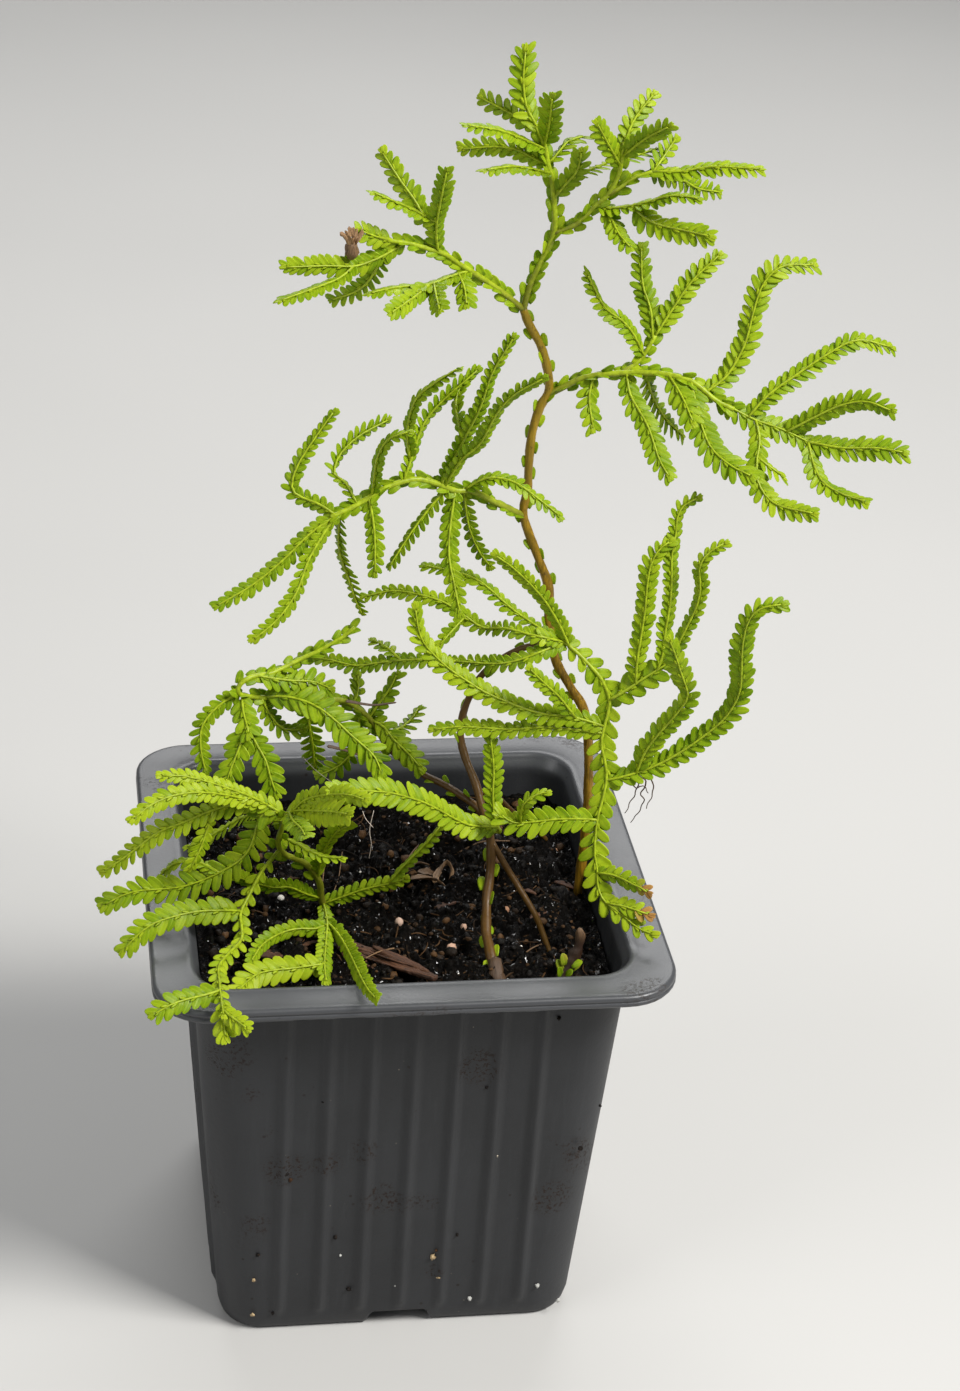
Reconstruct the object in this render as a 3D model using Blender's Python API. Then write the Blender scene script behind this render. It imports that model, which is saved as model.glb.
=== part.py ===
# A spikemoss grown in a square nursery pot, with its soil.
# The origin is the middle of the pot's foot, +Z is up and the front of the pot faces -Y.
# Stem and frond routes were read by eye in millimetres on the upright plane y = 0. A third
# number in a route point is its depth y, which moves the point along the sight line.
import math

import bmesh
import bpy
import numpy as np

MM = 0.001

# Driving dimensions of the pot, in millimetres
POT_HEIGHT = 80.0
RIM_WIDTH = 90.0
RIM_CORNER = 10.0
RIM_LIP = 2.2
WALL_TOP = 76.0
WALL_FOOT = 65.0
WALL_CORNER = 8.0
WALL_THICK = 1.2
FLOOR_THICK = 1.6
FLOOR_LEVEL = 2.9
RIM_STEP = 1.3
FOOT_ROUND = 3.0
CORNER_STEPS = 4
RIB_COUNT = 7
RIB_PITCH = 7.4
RIB_WIDE = 3.0
RIB_PROUD = 0.5
NOTCH_WIDE = 13.0
NOTCH_NARROW = 10.0
NOTCH_HIGH = 2.4
NOTCH_DEEP = 13.0
DRAIN_WIDE = 9.0

# Soil and clearances
SOIL_LEVEL = 72.0
SOIL_LUMPS = 0.9
SOIL_RINGS = 9
GAP = 0.3

# Fronds: one thin blade each, with leaflets cut to the rib
LEAF_PITCH = 5.4
BLADE_THICK = 0.6
RIB_HALF = 0.17
LEAF_SWEEP = 0.82
LEAF_DROOP = 0.13
LEAST_WIDTH = 3.3
STEM_SIDES = 5

# Eye point of the sight lines
EYE = np.array([-61.47, -440.37, 359.41])

COLOURS = {
    "pot": (0.055, 0.058, 0.062, 1.0),
    "soil": (0.018, 0.012, 0.008, 1.0),
    "stem": (0.32, 0.13, 0.03, 1.0),
    "foliage": (0.30, 0.55, 0.03, 1.0),
}

# Stem routes
LEADER = (
    (34.2, 67.6, 0.6), (34.4, 73.0, 0.8), (34.9, 85.0, 1.5), (34.6, 98.0, 2.2), (33.2, 109.5, 3.0),
    (30.0, 115.5, 4.0), (27.0, 121.0, 4.5), (25.4, 128.0, 5.0), (25.0, 134.8, 6.0), (22.8, 140.8, 7.0),
    (20.8, 145.6, 8.0), (19.6, 149.6, 8.5), (20.1, 153.6, 9.0), (20.0, 158.0, 9.2), (20.2, 164.0, 9.5),
    (21.2, 168.8, 10.0), (22.6, 172.4, 10.0), (21.2, 178.8, 9.5), (18.4, 184.0, 9.0), (17.4, 186.4, 8.7),
)
ARCH = (
    (20.5, 49.5, -27.4), (20.2, 53.2, -27.0), (19.4, 57.0, -25.0), (18.6, 60.5, -22.5), (17.8, 64.0, -19.5),
    (17.6, 68.0, -16.5), (17.5, 72.0, -14.0), (17.8, 76.0, -12.0), (17.8, 80.0, -10.5), (17.5, 84.0, -9.0),
    (17.0, 87.0, -8.0), (15.6, 91.0, -6.5), (14.2, 96.0, -4.0), (12.2, 101.0, -1.0), (11.0, 105.5, 1.0),
    (11.1, 110.0, 2.0), (12.2, 114.0, 2.0), (14.0, 118.0, 1.0), (17.5, 121.4, -1.0), (21.0, 123.3, -2.6),
    (23.6, 124.0, -3.6),
)
PROP_FRONT = (
    (17.8, 83.5, -9.2), (20.0, 79.5, -10.5), (22.0, 76.0, -11.5), (24.0, 72.5, -13.0), (26.5, 68.0, -15.0),
    (28.0, 64.5, -16.0), (29.6, 60.0, -17.6), (30.6, 57.0, -18.6),
)
PROP_REAR = (
    (14.6, 94.6, -4.8), (18.0, 93.2, 1.0), (20.5, 90.6, 6.0), (24.0, 87.4, 12.0), (28.0, 83.4, 18.0),
    (29.6, 80.0, 20.0),
)
SIDE_STEM = (
    (17.0, 87.4, -8.0), (15.0, 90.8, -4.5), (12.0, 93.4, -2.0), (8.5, 96.0, 1.0), (5.0, 98.0, 4.0),
    (2.0, 100.5, 6.0), (-1.5, 103.5, 8.0), (-3.4, 106.6, 9.0),
)


def spot(x, z, y):
    """The point at depth y on the sight line through (x, 0, z)."""
    reach = (y - EYE[1]) / -EYE[1]
    return EYE + (np.array([x, 0.0, z]) - EYE) * reach


def route(points):
    return np.array([spot(*point) for point in points])


def smooth(points, spacing):
    """Even samples along a Catmull-Rom curve through the points."""
    ends = np.vstack([2 * points[0] - points[1], points, 2 * points[-1] - points[-2]])
    fine = []
    for first, second, third, fourth in zip(ends, ends[1:], ends[2:], ends[3:]):
        for t in np.linspace(0.0, 1.0, 12, endpoint=False):
            fine.append(0.5 * (2 * second + (third - first) * t
                               + (2 * first - 5 * second + 4 * third - fourth) * t * t
                               + (3 * second - first - 3 * third + fourth) * t ** 3))
    fine.append(points[-1])
    fine = np.array(fine)
    along = np.concatenate([[0.0], np.cumsum(np.linalg.norm(np.diff(fine, axis=0), axis=1))])
    count = max(2, round(along[-1] / spacing))
    wanted = np.linspace(0.0, along[-1], count + 1)
    return np.column_stack([np.interp(wanted, along, fine[:, axis]) for axis in range(3)])


def unit(vector):
    return vector / max(np.linalg.norm(vector), 1e-9)


# The way most fronds turn their upper faces: forward and up
FACING = unit(np.array([-0.12, -0.74, 0.66]))


def frames(path, turn, facing):
    """Tangent, side and face directions along a path, with the face turned about the path."""
    tangents = np.gradient(path, axis=0)
    sides, faces = [], []
    face = facing
    for tangent in tangents:
        tangent = unit(tangent)
        wanted = 0.55 * face + 0.45 * facing
        face = unit(wanted - wanted.dot(tangent) * tangent)
        side = np.cross(tangent, face)
        sides.append(math.cos(turn) * side + math.sin(turn) * face)
        faces.append(math.cos(turn) * face - math.sin(turn) * side)
    return np.array(sides), np.array(faces)


def clear_scene():
    for item in list(bpy.data.objects):
        bpy.data.objects.remove(item, do_unlink=True)


def material(name):
    found = bpy.data.materials.get(name)
    if found is None:
        found = bpy.data.materials.new(name)
        found.use_nodes = True
        shader = found.node_tree.nodes["Principled BSDF"]
        shader.inputs["Base Color"].default_value = COLOURS[name]
        shader.inputs["Roughness"].default_value = 0.6
    return found


def solid(name, verts, faces):
    """A mesh object from corners in millimetres, with its faces turned outward."""
    mesh = bpy.data.meshes.new(name)
    mesh.from_pydata([tuple(MM * value for value in vert) for vert in verts], [], faces)
    shape = bmesh.new()
    shape.from_mesh(mesh)
    bmesh.ops.recalc_face_normals(shape, faces=shape.faces)
    bmesh.ops.triangulate(shape, faces=shape.faces)
    shape.to_mesh(mesh)
    shape.free()
    item = bpy.data.objects.new(name, mesh)
    bpy.context.scene.collection.objects.link(item)
    return item


def bake(item):
    """Apply an object's modifiers."""
    ready = bpy.context.evaluated_depsgraph_get()
    mesh = bpy.data.meshes.new_from_object(item.evaluated_get(ready))
    item.modifiers.clear()
    item.data = mesh


def cut(item, cutter):
    step = item.modifiers.new("cut", "BOOLEAN")
    step.operation = "DIFFERENCE"
    step.solver = "MANIFOLD"
    step.object = cutter
    cutter.hide_render = True
    cutter.display_type = "WIRE"
    bake(item)
    bpy.data.objects.remove(cutter, do_unlink=True)


def join(name, pieces, look):
    """One closed body from touching pieces, by one union with a collection."""
    base, rest = pieces[0], pieces[1:]
    if rest:
        group = bpy.data.collections.new(name + "_pieces")
        bpy.context.scene.collection.children.link(group)
        for piece in rest:
            bpy.context.scene.collection.objects.unlink(piece)
            group.objects.link(piece)
        step = base.modifiers.new("join", "BOOLEAN")
        step.operation = "UNION"
        step.solver = "MANIFOLD"
        step.operand_type = "COLLECTION"
        step.collection = group
        bake(base)
        for piece in rest:
            bpy.data.objects.remove(piece, do_unlink=True)
        bpy.data.collections.remove(group)
    base.name = name
    base.data.name = name
    base.data.materials.clear()
    base.data.materials.append(material(look))
    return base


# Pot and soil
def square_loop(width, corner, height):
    """Corners of a rounded square, anticlockwise from above."""
    half = width / 2 - corner
    loop = []
    for quarter in range(4):
        middle = math.radians(45 + 90 * quarter)
        cx = math.copysign(half, math.cos(middle))
        cy = math.copysign(half, math.sin(middle))
        for step in range(CORNER_STEPS + 1):
            angle = math.radians(90 * quarter + 90 * step / CORNER_STEPS)
            loop.append((cx + corner * math.cos(angle), cy + corner * math.sin(angle), height))
    return loop


def lathe(name, loops):
    """A closed solid skinned over a stack of loops, capped at both ends."""
    count = len(loops[0])
    verts = [point for loop in loops for point in loop]
    faces = []
    for row in range(len(loops) - 1):
        for step in range(count):
            after = (step + 1) % count
            faces.append((row * count + step, row * count + after,
                          (row + 1) * count + after, (row + 1) * count + step))
    faces.append(tuple(range(count)))
    faces.append(tuple(range((len(loops) - 1) * count, len(loops) * count)))
    return solid(name, verts, faces)


def wall_width(height):
    return WALL_FOOT + (WALL_TOP - WALL_FOOT) * height / POT_HEIGHT


def inner_width(height):
    return wall_width(height) - 2 * WALL_THICK


def build_pot():
    inner_floor = FLOOR_LEVEL + FLOOR_THICK
    under_lip = POT_HEIGHT - RIM_LIP
    profile = (
        (WALL_FOOT - 2 * FOOT_ROUND * 0.55, WALL_CORNER - 2.0, 0.0),
        (WALL_FOOT - 2 * FOOT_ROUND * 0.12, WALL_CORNER - 0.6, FOOT_ROUND * 0.35),
        (wall_width(FOOT_ROUND), WALL_CORNER, FOOT_ROUND),
        (wall_width(POT_HEIGHT), WALL_CORNER, under_lip - 0.6),
        (RIM_WIDTH - 2 * RIM_STEP, RIM_CORNER - RIM_STEP, under_lip - 0.2),
        (RIM_WIDTH - 1.4, RIM_CORNER - 0.7, under_lip),
        (RIM_WIDTH, RIM_CORNER, under_lip + 0.6),
        (RIM_WIDTH, RIM_CORNER, POT_HEIGHT - 0.6),
        (RIM_WIDTH - 1.2, RIM_CORNER - 0.6, POT_HEIGHT),
        (WALL_TOP - 0.4, WALL_CORNER - 0.8, POT_HEIGHT),
        (inner_width(POT_HEIGHT) + 0.5, WALL_CORNER - WALL_THICK, POT_HEIGHT - 0.6),
        (inner_width(POT_HEIGHT - 1.8), WALL_CORNER - WALL_THICK, POT_HEIGHT - 1.8),
        (inner_width(inner_floor + 1.5), WALL_CORNER - WALL_THICK, inner_floor + 1.5),
        (inner_width(inner_floor) - 2.0, WALL_CORNER - WALL_THICK - 0.8, inner_floor),
    )
    shell = lathe("shell", [square_loop(*row) for row in profile])
    pieces = [shell]
    for quarter in range(4):
        for index in range(RIB_COUNT):
            pieces.append(rib(quarter, (index - (RIB_COUNT - 1) / 2) * RIB_PITCH))
    pot = join("pot", pieces, "pot")
    for quarter in range(4):
        cut(pot, notch(quarter))
        cut(pot, drain(quarter))
    return pot


def turned(point, quarter):
    angle = math.radians(90 * quarter)
    x, y, z = point
    return (x * math.cos(angle) - y * math.sin(angle), x * math.sin(angle) + y * math.cos(angle), z)


def rib(quarter, across):
    """A soft upright rib that follows the slope of one wall."""
    low, high = NOTCH_HIGH + 1.4, POT_HEIGHT - RIM_LIP - 1.6
    section = ((-0.5, -0.6), (-0.25, 1.0), (0.25, 1.0), (0.5, -0.6))
    verts = []
    for height in (low, high):
        face = wall_width(height) / 2
        for wide, proud in section:
            lift = RIB_PROUD * proud
            verts.append(turned((across + RIB_WIDE * wide, -(face + lift), height), quarter))
    count = len(section)
    faces = [tuple(range(count)), tuple(range(count, 2 * count))]
    faces += [(step, (step + 1) % count, count + (step + 1) % count, count + step)
              for step in range(count)]
    return solid("rib", verts, faces)


def notch(quarter):
    """A channel cutter from the foot of one wall part of the way in."""
    outer, inner = WALL_FOOT / 2 + 2.0, WALL_FOOT / 2 - NOTCH_DEEP
    wide, narrow = NOTCH_WIDE / 2, NOTCH_NARROW / 2
    shape = ((-wide, -1.0), (wide, -1.0), (wide, 0.5), (narrow + 0.6, NOTCH_HIGH - 0.5),
             (narrow - 0.8, NOTCH_HIGH), (0.8 - narrow, NOTCH_HIGH), (-narrow - 0.6, NOTCH_HIGH - 0.5),
             (-wide, 0.5))
    verts = [turned((x, -depth, z), quarter) for depth in (outer, inner) for x, z in shape]
    count = len(shape)
    faces = [tuple(range(count)), tuple(range(count, 2 * count))]
    faces += [(step, (step + 1) % count, count + (step + 1) % count, count + step)
              for step in range(count)]
    return solid("notch", verts, faces)


def drain(quarter):
    """A slot cutter that opens the inner end of a channel up through the floor."""
    near, far = WALL_FOOT / 2 - NOTCH_DEEP + 0.6, WALL_FOOT / 2 - NOTCH_DEEP + 5.0
    half = DRAIN_WIDE / 2
    top = FLOOR_LEVEL + FLOOR_THICK + 1.0
    verts = [turned(point, quarter) for point in (
        (-half, -near, 1.0), (half, -near, 1.0), (half, -far, 1.0), (-half, -far, 1.0),
        (-half, -near, top), (half, -near, top), (half, -far, top), (-half, -far, top))]
    faces = [(0, 1, 2, 3), (4, 5, 6, 7), (0, 1, 5, 4), (1, 2, 6, 5), (2, 3, 7, 6), (3, 0, 4, 7)]
    return solid("drain", verts, faces)


def soil_height(x, y):
    """Gentle lumps on the soil, sunk to nothing at the wall."""
    lumps = (math.sin(0.31 * x + 0.9) * math.sin(0.27 * y - 0.4) + 0.6 * math.sin(0.63 * x - 0.38 * y + 1.7)
             + 0.4 * math.sin(0.52 * y + 0.81 * x))
    edge = min(1.0, max(0.0, (inner_width(SOIL_LEVEL) / 2 - max(abs(x), abs(y))) / 6.0))
    return SOIL_LEVEL + SOIL_LUMPS * 0.55 * lumps * edge


def build_soil():
    low = FLOOR_LEVEL + FLOOR_THICK + GAP
    top = SOIL_LEVEL
    loops = [square_loop(inner_width(low) - 8.0, WALL_CORNER - WALL_THICK - 2.4, low),
             square_loop(inner_width(low + 2.5) - 2 * GAP, WALL_CORNER - WALL_THICK - GAP, low + 2.5),
             square_loop(inner_width(top) - 2 * GAP, WALL_CORNER - WALL_THICK - GAP, top)]
    rim = loops[-1]
    for ring in range(1, SOIL_RINGS):
        part = 1.0 - ring / SOIL_RINGS
        loops.append([(x * part, y * part, soil_height(x * part, y * part)) for x, y, _ in rim])
    soil = lathe("soil", loops)
    soil.data.materials.append(material("soil"))
    return soil


def stem_hole(points, radius):
    """A plain hole cutter round the foot of a stem."""
    path = smooth(route(points[:3]), 3.0)
    path[0] = path[0] - GAP * unit(path[1] - path[0])
    return tube("hole", path, radius + 2 * GAP, radius + 2 * GAP)


# Stems and fronds
def tube(name, path, root, tip):
    """A many-sided stem along a path, tapered from root to tip."""
    sides, faces = frames(path, 0.0, FACING)
    radii = np.linspace(root, tip, len(path))
    verts = []
    for point, side, face, radius in zip(path, sides, faces, radii):
        for step in range(STEM_SIDES):
            angle = 2 * math.pi * step / STEM_SIDES
            verts.append(point + radius * (math.cos(angle) * side + math.sin(angle) * face))
    skin = [tuple(range(STEM_SIDES)), tuple(range((len(path) - 1) * STEM_SIDES, len(path) * STEM_SIDES))]
    for row in range(len(path) - 1):
        for step in range(STEM_SIDES):
            after = (step + 1) % STEM_SIDES
            skin.append((row * STEM_SIDES + step, row * STEM_SIDES + after,
                         (row + 1) * STEM_SIDES + after, (row + 1) * STEM_SIDES + step))
    return solid(name, verts, skin)


def leaflets(name, path, widths, turn, facing, pitch):
    """A thin blade along a path whose outline is cut to the rib between pairs of leaflets."""
    sides, faces = frames(path, turn, facing)
    count = max(2, round((len(path) - 1) / 4))
    rows = np.linspace(0, len(path) - 1, count + 1)

    def at(row, across, width):
        """A corner at a fractional row, as far across as asked and drooped with distance."""
        row = min(row, len(path) - 1)
        low = min(int(row), len(path) - 2)
        part = row - low
        point = path[low] * (1 - part) + path[low + 1] * part
        side = sides[low] * (1 - part) + sides[low + 1] * part
        face = faces[low] * (1 - part) + faces[low + 1] * part
        drop = LEAF_DROOP * width * (abs(across) / max(width / 2, 0.01)) ** 2
        return point + side * across - face * drop, face

    verts, skin = [], []

    def corner(row, across, width):
        point, face = at(row, across, width)
        verts.append(point + face * BLADE_THICK / 2)
        verts.append(point - face * BLADE_THICK / 2)
        return len(verts) - 2

    def plate(corners):
        skin.append(tuple(corners))
        skin.append(tuple(index + 1 for index in reversed(corners)))

    def wall(first, second):
        skin.append((first, first + 1, second + 1, second))

    def width_at(row):
        return float(np.interp(row, np.arange(len(path)), widths))

    ribs = [[corner(row, sign * max(RIB_HALF * width_at(row), 0.42), width_at(row)) for row in rows]
            for sign in (1, -1)]
    for index in range(count):
        plate((ribs[0][index], ribs[1][index], ribs[1][index + 1], ribs[0][index + 1]))
        for sign, rib_line in zip((1, -1), ribs):
            step = rows[index + 1] - rows[index]
            width = width_at(rows[index] + 0.6 * step)
            tip = corner(rows[index] + LEAF_SWEEP * step, sign * 0.50 * width, width)
            first, last = rib_line[index], rib_line[index + 1]
            if sign > 0:
                plate((first, last, tip))
                wall(first, tip)
                wall(tip, last)
            else:
                plate((last, first, tip))
                wall(tip, first)
                wall(last, tip)
    wall(ribs[1][0], ribs[0][0])
    wall(ribs[0][-1], ribs[1][-1])
    return solid(name, verts, skin)


class Spray:
    """A leafy branch system: stems, then fronds rooted on what is already there."""

    def __init__(self, name):
        self.name = name
        self.pieces = []
        self.plane = []
        self.world = []

    def remember(self, flat, path):
        self.plane += [tuple(point) for point in flat]
        self.world += [tuple(point) for point in path]

    def stem(self, points, root, tip, trim=0.0, spacing=6.0):
        path = smooth(route(points), spacing)
        if trim:
            path[0] = path[0] + unit(path[1] - path[0]) * trim
        self.pieces.append(tube(self.name, path, root, tip))
        fine = smooth(route(points), 0.8)
        reach = (fine[:, 1] - EYE[1]) / -EYE[1]
        flat = (fine - EYE) / reach[:, None] + EYE
        free = fine[:, 2] > SOIL_LEVEL + 1.5
        free &= np.linalg.norm(fine - fine[0], axis=1) > (trim + 0.5 if trim else -1.0)
        self.remember(flat[free][:, [0, 2]], fine[free])

    def nearest(self, x, z):
        gaps = [math.hypot(x - px, z - pz) for px, pz in self.plane]
        return gaps.index(min(gaps))

    def frond(self, width, depth, points, pitch=LEAF_PITCH):
        """A frond of the given seen width; its tip stands at the given depth."""
        root = self.nearest(*points[0][:2])
        start = np.array(self.world[root])
        steps = [math.hypot(b[0] - a[0], b[1] - a[1]) for a, b in zip(points, points[1:])]
        along = np.concatenate([[0.0], np.cumsum(steps)]) / sum(steps)
        placed = [start]
        for share, point in zip(along[1:], points[1:]):
            here = point[2] if len(point) > 2 else start[1] + (depth - start[1]) * share
            placed.append(spot(point[0], point[1], here))
        path = smooth(np.array(placed), pitch / 4)
        shares = np.linspace(0.0, 1.0, len(path))
        full = max(width, LEAST_WIDTH)
        widths = full * np.interp(shares, (0.0, 0.12, 0.7, 1.0), (0.72, 1.0, 0.95, 0.42))
        turn = math.acos(min(1.0, width / full)) * (1 if len(self.pieces) % 2 else -1)
        self.pieces.append(leaflets(self.name, path, widths, turn, FACING, pitch))
        reach = (path[:, 1] - EYE[1]) / -EYE[1]
        flat = (path - EYE) / reach[:, None] + EYE
        self.remember(flat[:, [0, 2]], path)

    def finish(self, look="foliage"):
        return join(self.name, self.pieces, look)


def scale_leaf(path, share, side, size):
    """A small pointed leaf rooted in a stem."""
    index = int(share * (len(path) - 2))
    base = path[index]
    along = unit(path[index + 1] - base)
    out = unit(np.cross(along, FACING)) * side
    face = unit(np.cross(out, along)) * side
    outline = ((0.0, -0.2), (0.62, 0.25), (0.66, 0.75), (0.25, 1.15), (0.0, 0.8))
    verts = []
    for lift in (0.3, -0.3):
        for across, up in outline:
            verts.append(base + size * (across * out + (up - 0.2) * along) + face * lift)
    count = len(outline)
    skin = [tuple(range(count)), tuple(range(count, 2 * count))]
    skin += [(step, (step + 1) % count, count + (step + 1) % count, count + step)
             for step in range(count)]
    return solid("leaf", verts, skin)


def build_leader():
    path = smooth(route(LEADER), 6.0)
    pieces = [tube("leader_stem", path, 0.85, 0.7)]
    fine = smooth(route(LEADER), 1.0)
    for order, share in enumerate((0.42, 0.48, 0.53, 0.58, 0.64, 0.73, 0.79, 0.85, 0.91)):
        pieces.append(scale_leaf(fine, share, 1 if order % 2 else -1, 2.3))
    return join("leader_stem", pieces, "stem")


def build_arch():
    pieces = [tube("arching_stem", smooth(route(ARCH), 4.0), 1.0, 0.6),
              tube("prop", smooth(route(PROP_FRONT), 5.0), 0.6, 0.55),
              tube("prop", smooth(route(PROP_REAR), 5.0), 0.6, 0.55),
              tube("side", smooth(route(SIDE_STEM), 5.0), 0.75, 0.6)]
    fine = smooth(route(ARCH), 1.0)
    for share, side in ((0.06, 1), (0.10, -1), (0.14, 1), (0.19, -1), (0.235, 1), (0.27, -1), (0.31, 1)):
        pieces.append(scale_leaf(fine, share, side, 2.5))
    return join("arching_stem", pieces, "stem")


def build_crown():
    spray = Spray("crown_spray")
    spray.stem(((17.4, 186.4, 8.7), (18.3, 190.5, 8.5), (20, 195, 8.5), (21.7, 199.5, 8.5),
               (21.4, 204.4, 9), (20.9, 207.9, 9.5), (19.9, 211.3, 10), (19.2, 214.1, 10.5),
               (17.8, 217.2, 11)), 0.65, 0.45, 1.1)
    spray.stem(((21.7, 199.5, 8.5), (24, 200.3, 7.5), (26.4, 202, 6.5), (28.1, 204.1, 6),
               (30.2, 206.1, 5), (31.6, 209.2, 4.5), (31.8, 211.3, 4), (32.1, 214.8, 4)), 0.5, 0.42)
    spray.stem(((30.2, 206.1, 5), (32, 207.2, 4.4), (34.3, 208.9, 3.8), (37.1, 209.9, 3)), 0.45, 0.4)
    spray.frond(4.2, 14, ((17.8, 217.2), (16.8, 218.8), (15.7, 221), (15.1, 225), (15.2, 229.3)))
    spray.frond(3.8, 5, ((19.2, 214.1), (19.7, 217.2), (19.9, 221.9)))
    spray.frond(2.2, 16, ((17.8, 217.2), (14, 219.2), (8.8, 221.8)))
    spray.frond(2.4, 4, ((18.8, 213.4), (16.1, 214.9), (11.9, 216.5), (6.8, 217.3)))
    spray.frond(2.2, 14, ((19.9, 211.2), (17.4, 212.2), (14.7, 213.6), (10.9, 214), (6.1, 213.6)))
    spray.frond(1.8, 2, ((20.6, 209.4), (17.1, 210.2), (14.3, 210.6), (10.2, 210)))
    spray.frond(1.8, 13, ((20.2, 210.9), (21.6, 212.9), (22.9, 214.8), (25.4, 215.6)))
    spray.frond(2.5, 5, ((21.4, 205.8), (23.3, 208.2), (24.8, 210), (25.2, 213)))
    spray.frond(1.8, 12, ((24.2, 209.2), (27, 210.2), (29.9, 211.4)))
    spray.frond(3.0, 8, ((32, 214.4), (33.3, 218.4), (36.1, 222.6)))
    spray.frond(3.2, 0, ((31.7, 210.9), (29.7, 214.1), (27.5, 217.7)))
    spray.frond(1.8, -2, ((32, 212.4), (35.4, 215.4), (39, 217.4)))
    spray.frond(1.8, 8, ((31.8, 211.4), (34.7, 212.7), (37.6, 213.7)))
    spray.frond(2.0, 7, ((37.1, 209.9), (38.6, 212.4), (40.3, 215.4)))
    spray.frond(2.8, -3, ((36.9, 209.8), (41.9, 209.9), (47, 210.7), (54.6, 210.4)))
    spray.frond(2.8, 9, ((36.6, 209.6), (41.9, 208.6), (44.7, 207.2), (48.3, 206.6)))
    spray.frond(2.2, -5, ((28.1, 203.9), (30.5, 203.7), (33.3, 203.9), (37.1, 204.8), (40.6, 205.8),
                          (44.9, 205.4)))
    spray.frond(4.2, -9, ((34.6, 203.9), (36, 202.4), (38.5, 201), (41.9, 200.2), (47.3, 199)))
    spray.frond(3.2, -3, ((29.9, 203.8), (30.9, 202), (32.3, 199.4), (34.3, 197.2)))
    return spray.finish()


def build_upper_left():
    spray = Spray("upper_left_spray")
    spray.stem(((17.4, 186.4, 8.7), (13.8, 189.3, 7), (9.8, 192.1, 5), (6.5, 194.2, 3.5), (3.8, 196, 2),
               (1.1, 196.9, 1), (-1.7, 197.7, 0), (-4.1, 198.1, -1), (-6.8, 198.7, -2)), 0.6, 0.42,
               1.15)
    spray.frond(3.0, -4, ((-5, 198.2), (-7.4, 198.9), (-10, 200)))
    spray.frond(3.2, -5, ((3, 196.4), (2.3, 200.2), (2.7, 203.9), (3.6, 209.7)))
    spray.frond(3.0, 5, ((2.2, 201), (0.2, 202.4), (-1.1, 204.8), (-3.8, 208.4), (-6.7, 212.8)))
    spray.frond(1.8, -4, ((0.9, 201.9), (-1.7, 203.4), (-4.4, 204.6), (-7.7, 206)))
    spray.frond(2.2, -8, ((-3, 197.8), (-5.6, 196), (-8, 194.8), (-10.8, 193.9), (-15, 194),
                          (-21.6, 193.8)))
    spray.frond(2.4, -13, ((-10.4, 193.9), (-12.9, 191.8), (-16.5, 190.2), (-22.2, 188)))
    spray.frond(3.0, 3, ((-6.2, 195.6), (-8, 191.8), (-10.2, 189.6), (-13.9, 188.2)))
    spray.frond(2.0, -7, ((8.4, 193), (5.9, 192.3), (3.5, 191.3), (1.1, 190.5), (-3.8, 190.1),
                          (-7.7, 189.2)))
    spray.frond(2.4, -11, ((1.4, 190.6), (-1.1, 188.3), (-4.3, 186)))
    spray.frond(2.6, -9, ((2, 190.8), (3, 188.6), (3.6, 186.4)))
    spray.frond(3.5, -4, ((6.7, 192.6), (7.5, 190), (7.9, 187.4)))
    return spray.finish()


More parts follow.
